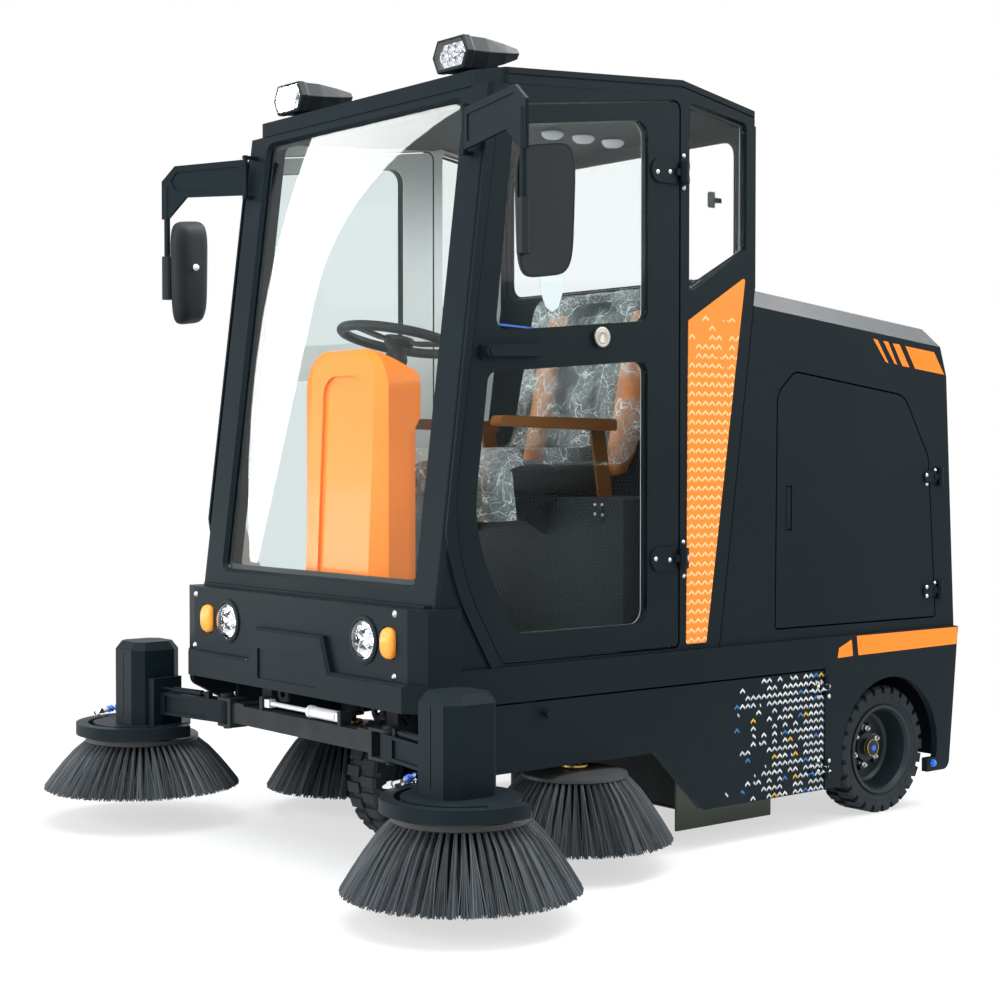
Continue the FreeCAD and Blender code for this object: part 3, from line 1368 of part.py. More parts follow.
def make_mirror_bracket():
    """Left mirror bracket: a cranked plate with folded edges, two stand-offs, a hinge post and the rod."""
    length = math.hypot(bracket_out[0] - bracket_in[0], bracket_out[1] - bracket_in[1])
    top = roof_front_z - 99.0
    shape = [(0.0, top - 112), (0.0, top - 8), (length - 58, top), (length, top - 42), (length, top - 157),
             (length - 26, top - 157), (length - 106, top - 98)]
    t = bracket_thickness
    plate = front_plate(shape, -t / 2.0, t / 2.0, [3.0, 3.0, 6.0, 6.0, 3.0, 3.0, 6.0])
    field = front_plate([(20.0, top - 94), (20.0, top - 26), (length - 66, top - 19), (length - 40, top - 44),
                         (length - 60, top - 74), (length - 112, top - 82)], -t / 2.0 - 1, -t / 2.0 + 3, 4.0)
    post = upright(-6, 0, top - 124, top + 4, 7.0)
    plate = joined([plate.cut(field), post])
    angle = math.degrees(math.atan2(bracket_out[1] - bracket_in[1], bracket_out[0] - bracket_in[0]))
    plate.rotate(Vector(0, 0, 0), Vector(0, 0, 1), angle)
    plate.translate(Vector(bracket_in[0], bracket_in[1], 0))
    pieces = [plate, upright(rod_x, rod_y, mirror_high - mirror_height * 0.6, top - 60, mirror_rod_radius)]
    post_x = bracket_in[0] - 6
    for z in (top - 118, top - 2):
        pieces.append(side_plate([(bracket_in[1] - 6, z - 5), (bracket_in[1] - 6, z + 5),
                                  (screen_y(z + 5), z + 5), (screen_y(z - 5), z - 5)], post_x - 6, post_x + 6))
    return joined(pieces)


def make_mirror():
    """Left mirror head: a domed shell with a sunk glass field that rises outward, clamped to the rod."""
    high = mirror_high
    low = high - mirror_height
    inset = 16.0
    near = -mirror_overlap
    far = mirror_width - mirror_overlap

    def ring(y, margin):
        corners = [(near + margin, low + 52 + margin / 2), (near + 26 + margin / 2, low + margin), (far - margin, low + margin),
                   (far - margin, high - margin), (near + margin, high - margin)]
        points = [Vector(x, y, z - mirror_rise * (far - x)) for x, z in corners]
        return outline(points, [14.0, 20.0, 38.0 - margin * 0.6, 38.0 - margin * 0.6, 26.0 - margin * 0.6])

    face = Part.Face(ring(20.0, 0.0)).extrude(Vector(0, 14, 0))
    glass = Part.Face(ring(18.0, 7.0)).extrude(Vector(0, 4, 0))
    dome = Part.makeLoft([ring(34.0, 0.0), ring(52.0, inset)], True, True)
    middle = (low + high) / 2.0 + 22
    clamp = block(-8, 16, -2, 24, middle - 50, middle + 50)
    grip = upright(0, 0, middle - 50, middle + 50, mirror_rod_radius + 5)
    boss = block(mirror_width / 2 - 30, mirror_width / 2 + 6, 50, 60, middle - 42, middle - 2)
    head = joined([joined([face, dome, boss]).cut(glass), clamp, grip])
    head = head.cut(upright(0, 0, low - 50, high + 50, mirror_rod_radius))
    head.rotate(Vector(0, 0, 0), Vector(0, 0, 1), mirror_turn)
    head.translate(Vector(rod_x, rod_y, 0))
    return head


def build():
    """Make every piece and save it under its own name."""
    save("chassis_frame", make_chassis())
    save("cab_floor", make_cab_floor())
    save_pair("lower_body", make_lower_body().fuse(make_skirt_hinge_posts()))
    save("lower_rear_panel", make_rear_panel())
    save("front_bumper", make_bumper())
    save("cab_front_frame", make_front_frame())
    save_pair("cab_side", make_cab_side().fuse(make_door_hinge_posts()))
    save("cab_rear_wall", make_rear_wall())
    save("roof_panel", make_roof())
    quarter_glass = make_quarter_glass()
    save("cab_glass", Part.makeCompound([make_windscreen(), make_rear_glass(), quarter_glass,
                                         mirrored(quarter_glass)]))
    save("quarter_panels", both(make_quarter_panel()))
    save("rear_housing", make_housing())
    save("battery_pack", make_battery())
    save("waste_bin", make_waste_bin())
    save("rear_axle", make_rear_axle())
    save("lamp_lenses", Part.makeCompound([both(make_headlamp()), both(make_roof_lens())]))
    amber = make_tail_lamp(sill_top + amber_lamp_low, sill_top + amber_lamp_high)
    save("amber_lamps", Part.makeCompound([both(make_turn_signal()), both(amber)]))
    save("red_lamps", both(make_tail_lamp(sill_top + red_lamp_low, sill_top + red_lamp_high)))
    save("roof_lamps", both(make_roof_lamp()))
    save("mirror_brackets", both(make_mirror_bracket()))
    save("mirrors", both(make_mirror()))
    save("instrument_cowl", make_cowl())
    save("steering_column", make_steering_column())
    save("pedals", make_pedals())
    save("seat_box", make_seat_box())
    cushion, back = make_seat_pads()
    save("seat_cushion", cushion)
    save("seat_backrest", back)
    save("armrests", make_armrests())
    save("roller_hood", make_roller_hood())
    save("debris_flaps", both(make_debris_flap()))
    save("front_brush_beam", make_front_beam())
    save("lift_cylinder", make_lift_cylinder())
    save("inner_brush_motors", both(make_inner_motors()))
    save("steering_wheel", make_steering_wheel())
    save("steering_fork", make_fork())
    front_centre = (0.0, front_wheel_y, wheel_radius)
    save("front_tyre", make_tyre(front_centre, front_tyre_width, rim_radius))
    save("front_rim", make_rim(front_centre, front_tyre_width, rim_radius, front_axle_radius + running_gap, 50.0))
    rear_centre = (rear_tyre_outer_x - rear_tyre_width / 2.0, rear_wheel_y, wheel_radius)
    save_pair("rear_tyre", make_tyre(rear_centre, rear_tyre_width, rear_rim_radius))
    save_pair("rear_rim", make_rim(rear_centre, rear_tyre_width, rear_rim_radius, rear_shaft_radius + running_gap,
                                   68.0))
    save_pair("cab_door", make_cab_door())
    door_glass = make_door_glass()
    save("cab_door_left_glass", door_glass)
    save("cab_door_right_glass", mirrored(door_glass))
    save_pair("housing_door", make_housing_door())
    save_pair("skirt_door", make_skirt_door())
    save_pair("front_brush_arm", make_front_arm())
    for side, low in (("left", front_brush_low_left), ("right", front_brush_low_right)):
        brush = make_brush(front_brush_x, front_brush_y, front_brush_radius, low, front_disc_radius, front_disc_low,
                           front_disc_high)
        save("front_brush_" + side, brush if side == "left" else mirrored(brush))
    save_pair("inner_brush", make_brush(inner_brush_x, inner_brush_y, inner_brush_radius, inner_brush_low,
                                        inner_disc_radius, inner_disc_low, inner_disc_high))
    save("main_roller", make_roller())


build()
write_pieces()
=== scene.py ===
# %% [markdown]
# A compact road sweeper
#
# This lesson dresses a machine whose hard parts already exist as solids: the frame, the cab, the
# doors, the wheels. What is left is everything that a draughtsman doesn't draw. That is paint with
# a fine grain, tinted glass with its black printed edge, thousands of bristles, rubber, lamps, a
# padded seat under clear film, hoses and bolts.
#
# All lengths are metres. X runs across the machine, the front looks along -Y, and Z is up.

# %% Load the frame
import json
import math
import bmesh
import bpy
import numpy as np
from mathutils import Matrix, Vector


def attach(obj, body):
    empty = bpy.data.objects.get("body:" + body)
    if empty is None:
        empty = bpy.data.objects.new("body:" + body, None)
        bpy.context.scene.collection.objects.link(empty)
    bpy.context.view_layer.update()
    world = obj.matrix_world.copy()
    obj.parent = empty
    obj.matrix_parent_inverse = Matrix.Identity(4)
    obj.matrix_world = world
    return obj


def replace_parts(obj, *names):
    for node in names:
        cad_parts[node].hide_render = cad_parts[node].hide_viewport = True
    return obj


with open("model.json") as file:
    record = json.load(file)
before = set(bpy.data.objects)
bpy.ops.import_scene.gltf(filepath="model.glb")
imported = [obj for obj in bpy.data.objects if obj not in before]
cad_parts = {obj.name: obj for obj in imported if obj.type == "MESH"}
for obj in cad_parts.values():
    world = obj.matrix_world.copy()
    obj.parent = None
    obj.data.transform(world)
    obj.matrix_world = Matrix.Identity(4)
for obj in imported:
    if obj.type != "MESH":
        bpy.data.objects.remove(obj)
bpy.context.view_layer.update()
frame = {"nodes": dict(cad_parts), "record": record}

nodes = frame["nodes"]

# %% [markdown]
# The drawing measures along the machine from the front edge of its roof, while the frame's origin
# lies under the middle of the machine. One small function turns drawing millimetres into metres
# of the frame, so that every later number can be read on the drawing.

# %% Drawing millimetres to frame metres
ROOF_EDGE_Y = -0.655066


def at(x, y, z):
    """Drawing millimetres to points of the frame in metres. Each value may be a number or an array."""
    x, y, z = np.broadcast_arrays(np.asarray(x, float), np.asarray(y, float), np.asarray(z, float))
    return np.stack([x / 1000.0, y / 1000.0 + ROOF_EDGE_Y, z / 1000.0], axis=-1)


# %% [markdown]
# The camera comes first, because it decides which surfaces deserve the most care. It stands off the
# machine's front left corner, a little over a metre up, and looks almost level. A long lens keeps
# the upright edges upright.

# %% Camera
FRAME_PIXELS = 1000.0
camera_data = bpy.data.cameras.new("view_camera")
camera_data.lens = 66.99
camera_data.sensor_width = 36.0
camera_data.clip_end = 60.0
camera = bpy.data.objects.new("view_camera", camera_data)
camera.location = (4.2098, -3.5707, 1.0980)
camera.rotation_euler = (math.radians(88.503), 0.0, math.radians(51.10))
bpy.context.scene.collection.objects.link(camera)
bpy.context.scene.camera = camera
bpy.context.scene.view_settings.view_transform = "Standard"
print("focal length in pixels:", FRAME_PIXELS * camera_data.lens / camera_data.sensor_width)

# %% [markdown]
# Every new piece is a surface worked out as whole arrays. A shape is kept as a pair: an array of
# points, and a list of faces as rows of point numbers. Small functions make such pairs, join them,
# and hang the result on a body of the machine.

# %% From arrays to a piece


def grid_faces(rows, columns, wrap_rows=False, wrap_columns=False, start=0):
    """Quads of a grid of points that is stored row after row.

    Point (i, j) has the number start + i * columns + j. A wrapped direction joins its last line of
    points to its first one.
    """
    i = np.arange(rows if wrap_rows else rows - 1)
    j = np.arange(columns if wrap_columns else columns - 1)
    i, j = np.meshgrid(i, j, indexing="ij")
    i1 = (i + 1) % rows
    j1 = (j + 1) % columns
    quads = np.stack([i * columns + j, i * columns + j1, i1 * columns + j1, i1 * columns + j], axis=-1)
    return quads.reshape(-1, 4) + start


def merged(shapes):
    """Several (points, faces) pairs as one: the faces of each shape are counted on from the last."""
    points = []
    faces = []
    start = 0
    for shape_points, shape_faces in shapes:
        shape_points = np.asarray(shape_points, float).reshape(-1, 3)
        points.append(shape_points)
        faces.extend([np.asarray(face) + start for face in shape_faces])
        start += len(shape_points)
    return np.concatenate(points), faces


def put_mesh(name, shape, body, material, smooth=False, outward=True):
    """Make an object from (points, faces), give it a material, and hang it on a body.

    Where outward is set, Blender turns the faces of each closed shell to look outwards.
    """
    points, faces = shape
    mesh = bpy.data.meshes.new(name)
    flat = []
    for group in faces:
        group = np.asarray(group)
        flat.extend(group.tolist() if group.ndim == 2 else [group.tolist()])
    mesh.from_pydata(np.asarray(points, float).reshape(-1, 3).tolist(), [], flat)
    mesh.validate()
    if outward:
        work = bmesh.new()
        work.from_mesh(mesh)
        bmesh.ops.recalc_face_normals(work, faces=work.faces)
        work.to_mesh(mesh)
        work.free()
    mesh.polygons.foreach_set("use_smooth", [smooth] * len(mesh.polygons))
    mesh.update()
    piece = bpy.data.objects.new(name, mesh)
    bpy.context.scene.collection.objects.link(piece)
    mesh.materials.append(material)
    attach(piece, body)
    return piece


def soften(piece, width, segments=2, angle=30.0):
    """Round the sharp edges of a piece with a Bevel modifier, on edges sharper than the angle."""
    bevel = piece.modifiers.new("soft_edges", "BEVEL")
    bevel.width = width
    bevel.segments = segments
    bevel.limit_method = "ANGLE"
    bevel.angle_limit = math.radians(angle)
    bevel.harden_normals = False
    return piece


# %% [markdown]
# Three makers cover nearly everything: a loft through closed rings, a profile turned round an axis,
# and a tube carried along a path. Each is a grid of points, so each is one line of numpy.

# %% Lofts, turned shapes and tubes


def loft(rings, closed_ends=True):
    """A closed skin through rings of equal point counts. Point (i, j) is the j-th point of ring i."""
    rings = np.asarray(rings, float)
    count, size = rings.shape[0], rings.shape[1]
    faces = list(grid_faces(count, size, wrap_columns=True)[None])
    if closed_ends:
        faces.append(np.arange(size)[::-1][None])
        faces.append(((count - 1) * size + np.arange(size))[None])
    return rings.reshape(-1, 3), faces


def axes_of(direction):
    """Two unit vectors square to a direction and to each other, with the direction itself."""
    w = np.asarray(direction, float)
    w = w / np.linalg.norm(w)
    helper = np.array([0.0, 0.0, 1.0]) if abs(w[2]) < 0.9 else np.array([0.0, 1.0, 0.0])
    u = np.cross(helper, w)
    u /= np.linalg.norm(u)
    return u, np.cross(w, u), w


def turned(profile, centre, axis, segments=48, closed_ends=True, phase=0.0):
    """A profile of (radius, height) pairs in metres turned round an axis.

    A point is centre + height * w + radius * (cos a * u + sin a * v), where w is the axis and a runs
    once round from the phase.
    """
    u, v, w = axes_of(axis)
    profile = np.asarray(profile, float)
    angle = np.linspace(0.0, 2 * np.pi, segments, endpoint=False) + phase
    ring = np.cos(angle)[:, None] * u + np.sin(angle)[:, None] * v
    rings = np.asarray(centre, float) + profile[:, None, 1:2] * w + profile[:, None, 0:1] * ring[None]
    return loft(rings, closed_ends)


def tube(path, radius, sides=8, closed_ends=True):
    """A round tube along a path of points.

    Each ring is square to the path's direction there. Its zero angle is carried along the path, so
    that the tube doesn't twist.
    """
    path = np.asarray(path, float)
    along = np.gradient(path, axis=0)
    along /= np.linalg.norm(along, axis=1)[:, None]
    radius = np.broadcast_to(np.asarray(radius, float), (len(path),))
    angle = np.linspace(0.0, 2 * np.pi, sides, endpoint=False)
    u = axes_of(along[0])[0]
    rings = []
    for point, w, size in zip(path, along, radius):
        u = u - w * np.dot(u, w)
        u /= np.linalg.norm(u)
        v = np.cross(w, u)
        rings.append(point + size * (np.cos(angle)[:, None] * u + np.sin(angle)[:, None] * v))
    return loft(rings, closed_ends)


def smooth_path(points, count=40):
    """A smooth curve through a few points: a Catmull-Rom spline, sampled evenly in its parameter.

    Between the points B and C, with their neighbours A and D, a place f from 0 to 1 has the point
    (2B + (C - A) f + (2A - 5B + 4C - D) f ** 2 + (3B - A - 3C + D) f ** 3) / 2.
    """
    p = np.asarray(points, float)
    p = np.concatenate([[2 * p[0] - p[1]], p, [2 * p[-1] - p[-2]]])
    t = np.linspace(0.0, len(p) - 3 - 1e-9, count)
    i = t.astype(int)
    f = (t - i)[:, None]
    a, b, c, d = p[i], p[i + 1], p[i + 2], p[i + 3]
    square = (2 * a - 5 * b + 4 * c - d) * f ** 2
    cube = (3 * b - a - 3 * c + d) * f ** 3
    return 0.5 * (2 * b + (c - a) * f + square + cube)


def slab(corners, thickness, direction):
    """A flat plate: a closed ring of corner points, and the same ring moved along a direction."""
    corners = np.asarray(corners, float)
    shift = np.asarray(direction, float) * thickness
    return loft([corners, corners + shift])


# %% [markdown]
# Paint, plastic and rubber are never one flat colour. Some effects come back in nearly all of them, so each
# is a node group with its own inputs: a fine grain that breaks up the gloss, the dust that gathers near the
# floor, and a mask for what lies inside the cab, where a pale painted reflection goes.

# %% Shared effects as node groups


def new_group(name, inputs, outputs):
    """An empty shader group with float, colour or vector sockets. Returns it with its two end nodes."""
    group = bpy.data.node_groups.new(name, "ShaderNodeTree")
    for label, kind, default in inputs:
        kind = "NodeSocket" + kind
        socket = group.interface.new_socket(name=label, in_out="INPUT", socket_type=kind)
        socket.default_value = default
    for label, kind in outputs:
        kind = "NodeSocket" + kind
        group.interface.new_socket(name=label, in_out="OUTPUT", socket_type=kind)
    first = group.nodes.new("NodeGroupInput")
    last = group.nodes.new("NodeGroupOutput")
    return group, first, last


def link(tree, source, target):
    """Join an output socket to an input socket."""
    tree.links.new(source, target)


def math_node(tree, operation, first=None, second=None, third=None):
    """A Math node whose inputs are numbers or sockets. Returns its output socket."""
    node = tree.nodes.new("ShaderNodeMath")
    node.operation = operation
    for socket, value in zip(node.inputs, (first, second, third)):
        if isinstance(value, bpy.types.NodeSocket):
            link(tree, value, socket)
        elif value is not None:
            socket.default_value = value
    return node.outputs[0]


def make_grain_group():
    """Fine grain: two sizes of noise on Object coordinates, as a tone, a roughness and a height."""
    group, first, last = new_group(
        "fine_grain",
        [("Scale", "Float", 400.0), ("Base Roughness", "Float", 0.4),
         ("Roughness Spread", "Float", 0.1)],
        [("Tone", "Float"), ("Roughness", "Float"), ("Height", "Float")])
    place = group.nodes.new("ShaderNodeTexCoord")
    fine = group.nodes.new("ShaderNodeTexNoise")
    fine.inputs["Detail"].default_value = 2.0
    broad = group.nodes.new("ShaderNodeTexNoise")
    broad.inputs["Scale"].default_value = 3.0
    broad.inputs["Detail"].default_value = 3.0
    link(group, place.outputs["Object"], fine.inputs["Vector"])
    link(group, place.outputs["Object"], broad.inputs["Vector"])
    link(group, first.outputs["Scale"], fine.inputs["Scale"])
    rough = math_node(group, "MULTIPLY_ADD", broad.outputs["Fac"], first.outputs["Roughness Spread"],
                      first.outputs["Base Roughness"])
    link(group, broad.outputs["Fac"], last.inputs["Tone"])
    link(group, rough, last.inputs["Roughness"])
    link(group, fine.outputs["Fac"], last.inputs["Height"])
    return group


def make_dust_group():
    """Road dust: patchy near the floor, thin on faces that look up. Puts out one mask from 0 to 1.

    The mask is max(2.2 * noise - 0.55, 0) times the sum of Amount * (1 - height / Reach) and
    Upward * max(normal z, 0) squared.
    """
    group, first, last = new_group(
        "road_dust",
        [("Amount", "Float", 0.3), ("Reach", "Float", 0.5), ("Upward", "Float", 0.15)],
        [("Mask", "Float")])
    place = group.nodes.new("ShaderNodeTexCoord")
    split = group.nodes.new("ShaderNodeSeparateXYZ")
    link(group, place.outputs["Object"], split.inputs[0])
    facing = group.nodes.new("ShaderNodeSeparateXYZ")
    shape = group.nodes.new("ShaderNodeNewGeometry")
    link(group, shape.outputs["Normal"], facing.inputs[0])
    noise = group.nodes.new("ShaderNodeTexNoise")
    noise.inputs["Scale"].default_value = 14.0
    noise.inputs["Detail"].default_value = 6.0
    noise.inputs["Roughness"].default_value = 0.65
    link(group, place.outputs["Object"], noise.inputs["Vector"])
    height = math_node(group, "DIVIDE", split.outputs["Z"], first.outputs["Reach"])
    low = math_node(group, "SUBTRACT", 1.0, math_node(group, "MINIMUM", height, 1.0))
    low = math_node(group, "MULTIPLY", low, first.outputs["Amount"])
    up = math_node(group, "POWER", math_node(group, "MAXIMUM", facing.outputs["Z"], 0.0), 2.0)
    total = math_node(group, "MULTIPLY_ADD", up, first.outputs["Upward"], low)
    patchy = math_node(group, "MULTIPLY_ADD", noise.outputs["Fac"], 2.2, -0.55)
    mask = math_node(group, "MULTIPLY", total, math_node(group, "MAXIMUM", patchy, 0.0))
    link(group, math_node(group, "MINIMUM", mask, 1.0), last.inputs["Mask"])
    return group


# Inside this half width the cab's panels carry the pale painted reflection.
INSIDE_GLARE_HALF_WIDTH = 0.5425


def make_inside_glare_group():
    """Mask of the cab's inner skin, where the pale painted reflection goes: 1 where |x| is below Half Width,
    and 0 outside it.
    """
    group, first, last = new_group(
        "cab_inside_glare", [("Half Width", "Float", INSIDE_GLARE_HALF_WIDTH)], [("Mask", "Float")])
    place = group.nodes.new("ShaderNodeTexCoord")
    split = group.nodes.new("ShaderNodeSeparateXYZ")
    link(group, place.outputs["Object"], split.inputs[0])
    across = math_node(group, "ABSOLUTE", split.outputs["X"])
    inside = math_node(group, "LESS_THAN", across, first.outputs["Half Width"])
    link(group, inside, last.inputs["Mask"])
    return group


grain_group = make_grain_group()
dust_group = make_dust_group()
inside_glare_group = make_inside_glare_group()
print("groups:", [g.name for g in bpy.data.node_groups])

# %% [markdown]
# Each finish below keeps its own Principled shader. A small function fills one from a few values:
# two tones of the colour, the roughness and its spread, and the size and depth of the grain. The
# dust is a second colour over the first. Pieces near the floor get more of it. Two tones close to
# each other are better than one flat colour, because real paint is never quite even.

# %% Finishes


def add_group(tree, group, **values):
    """Place a node group in a material with its own input values."""
    node = tree.nodes.new("ShaderNodeGroup")
    node.node_tree = group
    for label, value in values.items():
        node.inputs[label.replace("_", " ")].default_value = value
    return node


def mix_colour(tree, factor, first, second):
    """A colour between two. Each is a socket or an (r, g, b) triple. Returns the output socket."""
    node = tree.nodes.new("ShaderNodeMix")
    node.data_type = "RGBA"
    for label, value in (("Factor", factor), ("A", first), ("B", second)):
        if isinstance(value, bpy.types.NodeSocket):
            link(tree, value, node.inputs[label])
        elif label == "Factor":
            node.inputs[label].default_value = value
        else:
            node.inputs[label].default_value = (*value, 1.0)
    return node.outputs["Result"]


def grained(name, dark, light, roughness, spread, scale, depth, metallic=0.0, coat=0.0,
            specular=0.5, dust=0.0, dust_reach=0.5, upward=0.0, dust_colour=(0.16, 0.16, 0.155)):
    """A finish with a fine grain: the colour drifts between two tones, and the gloss drifts too.

    scale is the grain's count to the metre, and depth its height in metres.
    """
    material = bpy.data.materials.new(name)
    material.use_nodes = True
    tree = material.node_tree
    shader = tree.nodes["Principled BSDF"]
    grain = add_group(tree, grain_group, Scale=scale, Base_Roughness=roughness,
                      Roughness_Spread=spread)
    colour = mix_colour(tree, grain.outputs["Tone"], dark, light)
    if dust or upward:
        dusty = add_group(tree, dust_group, Amount=dust, Reach=dust_reach, Upward=upward)
        colour = mix_colour(tree, dusty.outputs["Mask"], colour, dust_colour)
    bump = tree.nodes.new("ShaderNodeBump")
    bump.inputs["Strength"].default_value = 0.35
    bump.inputs["Distance"].default_value = depth
    link(tree, colour, shader.inputs["Base Color"])
    link(tree, grain.outputs["Roughness"], shader.inputs["Roughness"])
    link(tree, grain.outputs["Height"], bump.inputs["Height"])
    link(tree, bump.outputs["Normal"], shader.inputs["Normal"])
    shader.inputs["Metallic"].default_value = metallic
    shader.inputs["Coat Weight"].default_value = coat
    shader.inputs["Specular IOR Level"].default_value = specular
    return material


def with_inside_glare(material, lining):
    """Lay a painted reflection on the inner skin of a cab panel: a pale second colour under the same grain,
    standing in for the bright glare seen on the glass in front of it.
    """
    tree = material.node_tree
    shader = tree.nodes["Principled BSDF"]
    before = shader.inputs["Base Color"].links[0].from_socket
    mask = add_group(tree, inside_glare_group, Half_Width=INSIDE_GLARE_HALF_WIDTH)
    link(tree, mix_colour(tree, mask.outputs["Mask"], before, lining), shader.inputs["Base Color"])
    return material


# %% [markdown]
# The body is a cool black that looks blue beside the orange. Its gloss is low, because fine texture paint
# scatters the light. The cab's panels get the same paint outside. Inside, they get a pale painted reflection
# that stands in for the bright glare seen on the glass.
# Rubber and the frame carry road dust, which a machine collects first near its wheels.

# %% Paint, plastic and rubber
body_tones = ((0.0028, 0.0072, 0.0100), (0.0058, 0.0125, 0.0165))
body_look = (*body_tones, 0.42, 0.12, 900.0, 0.0003)
# Painted reflection: the pale tone on the cab's inside faces stands in for the bright glare seen on the
# glass in front of them.
cab_inside_glare_tone = (0.80, 0.83, 0.83)
body_paint = grained("body_paint", *body_look, specular=0.09, dust=0.03, upward=0.03)
cab_paint = with_inside_glare(grained("cab_paint", *body_look, specular=0.09, upward=0.03), cab_inside_glare_tone)
frame_paint = grained("frame_paint", (0.005, 0.008, 0.009), (0.011, 0.016, 0.019), 0.50, 0.15, 500.0,
                      0.0004, specular=0.18, dust=0.20, dust_reach=0.6, upward=0.1)
orange_gloss = grained("orange_gloss", (0.90, 0.185, 0.004), (0.98, 0.225, 0.006), 0.30, 0.1, 300.0,
                       0.0002, coat=0.1, specular=0.25)
black_plastic = grained("black_plastic", (0.005, 0.008, 0.010), (0.012, 0.018, 0.022), 0.45, 0.15,
                        700.0, 0.0004, specular=0.2)
rubber = grained("rubber", (0.008, 0.012, 0.015), (0.020, 0.026, 0.031), 0.65, 0.2, 350.0, 0.0008,
                 specular=0.18, dust=0.15, dust_reach=0.42, dust_colour=(0.10, 0.11, 0.12))
rim_paint = grained("rim_paint", (0.004, 0.009, 0.012), (0.010, 0.018, 0.023), 0.34, 0.12, 500.0,
                    0.0003, specular=0.3)
seat_vinyl = grained("seat_vinyl", (0.010, 0.012, 0.014), (0.024, 0.028, 0.031), 0.48, 0.15, 450.0,
                     0.0008, specular=0.25)
cab_grey = grained("cab_grey", (0.020, 0.028, 0.033), (0.040, 0.052, 0.060), 0.45, 0.12, 600.0,
                   0.0003, specular=0.2)
green_rubber = grained("green_rubber", (0.012, 0.024, 0.012), (0.045, 0.080, 0.036), 0.25, 0.15,
                       60.0, 0.0005)
battery_case = grained("battery_case", (0.02, 0.021, 0.024), (0.04, 0.042, 0.045), 0.5, 0.1, 350.0,
                       0.0004)
white_plastic = grained("white_plastic", (0.62, 0.63, 0.64), (0.78, 0.79, 0.80), 0.35, 0.1, 300.0,
                        0.0002)
blue_plastic = grained("blue_plastic", (0.01, 0.09, 0.55), (0.02, 0.16, 0.75), 0.3, 0.1, 300.0, 0.0002)
bare_steel = grained("bare_steel", (0.45, 0.46, 0.48), (0.7, 0.7, 0.72), 0.22, 0.15, 300.0, 0.0002,
                     metallic=1.0)
brass = grained("brass", (0.6, 0.38, 0.1), (0.85, 0.6, 0.22), 0.25, 0.15, 300.0, 0.0002, metallic=1.0)
print("finishes so far:", len(bpy.data.materials))

# %% [markdown]
# Real glass bends light by an index near 1.5, but a thin plate drawn that way hides the cab behind
# its own reflections. A lower index keeps the pane clear and still mirrors the bright surroundings
# at a shallow angle. Light on its way to a surface inside passes straight through.

# %% Glass


def clear_glass(name, tint, shadow_tint, roughness=0.0, ior=1.45, specular=0.5):
    """Glass that transmits, with a plain transparent shader for shadow rays, so the cab stays lit."""
    material = bpy.data.materials.new(name)
    material.use_nodes = True
    tree = material.node_tree
    shader = tree.nodes["Principled BSDF"]
    shader.inputs["Base Color"].default_value = (*tint, 1.0)
    shader.inputs["Transmission Weight"].default_value = 1.0
    shader.inputs["Roughness"].default_value = roughness
    shader.inputs["IOR"].default_value = ior
    shader.inputs["Specular IOR Level"].default_value = specular
    through = tree.nodes.new("ShaderNodeBsdfTransparent")
    through.inputs["Color"].default_value = (*shadow_tint, 1.0)
    path = tree.nodes.new("ShaderNodeLightPath")
    mix = tree.nodes.new("ShaderNodeMixShader")
    link(tree, path.outputs["Is Shadow Ray"], mix.inputs["Fac"])
    link(tree, shader.outputs["BSDF"], mix.inputs[1])
    link(tree, through.outputs["BSDF"], mix.inputs[2])
    link(tree, mix.outputs["Shader"], tree.nodes["Material Output"].inputs["Surface"])
    return material


screen_glass = clear_glass("screen_glass", (0.80, 0.86, 0.855), (0.85, 0.9, 0.88), ior=1.2)
door_glass = clear_glass("door_glass", (0.86, 0.91, 0.91), (0.75, 0.8, 0.8), ior=1.13)
pale_glass = clear_glass("pale_glass", (0.985, 0.99, 0.99), (0.97, 0.98, 0.98), ior=1.1)
lamp_glass = clear_glass("lamp_glass", (0.97, 0.98, 1.0), (0.95, 0.95, 0.97), specular=0.35)
amber_glass = clear_glass("amber_glass", (1.0, 0.42, 0.02), (1.0, 0.4, 0.02), 0.1, specular=0.35)
red_glass = clear_glass("red_glass", (0.75, 0.01, 0.02), (0.7, 0.01, 0.02), 0.1, specular=0.35)
print("glasses:", [m.name for m in bpy.data.materials if "glass" in m.name])

# %% [markdown]
# The record gives each solid a slot, such as paint or rubber. A table from slot to finish dresses
# all the solids at once. A few solids then get a finish of their own.

# %% Dress the solids
slot_finish = {
    "body_paint": body_paint, "frame_paint": frame_paint, "accent_orange": orange_gloss,
    "tinted_glass": screen_glass, "tyre_rubber": rubber, "rim_paint": rim_paint, "bristle": rubber,
    "black_plastic": black_plastic, "clear_lens": lamp_glass, "amber_lens": amber_glass,
    "red_lens": red_glass, "seat_vinyl": seat_vinyl, "cab_grey": cab_grey,
    "green_rubber": green_rubber, "battery_case": battery_case, "bare_steel": bare_steel,
}
node_slot = {part["node"]: part["material_slot"] for part in frame["record"]["subparts"]}


def dress(name, finish):
    """Give a solid one finish."""
    nodes[name].data.materials.clear()
    nodes[name].data.materials.append(finish)


for name in nodes:
    dress(name, slot_finish[node_slot[name]])
for side in ("left", "right"):
    dress("cab_side_" + side, cab_paint)
    dress("cab_door_" + side, cab_paint)
    dress("cab_door_" + side + "_glass", door_glass)
print("dressed", len(nodes), "solids with", len(set(slot_finish.values())), "finishes")

# %% [markdown]
# The side brushes take the most skill. Each is a disc set with a dense skirt of stiff plastic bristles that
# flares out to the floor. One bristle has four short segments, three sides and two ends, so it has only
# fourteen faces, and a brush holds over five thousand of them. They leave the disc in tufts, spread as they
# fall, and end at slightly different lengths. A nearly black ribbed cone hangs inside as painted shade. It
# stands in for the shadowed depth where real bristles stand too close to see between.

# %% Bristles
BRISTLE_STEPS = np.array([0.0, 0.22, 0.48, 0.75, 1.0])
BRISTLES_PER_TUFT = 94
BRISTLE_WIDTH = 1.5
FLARE = 0.8


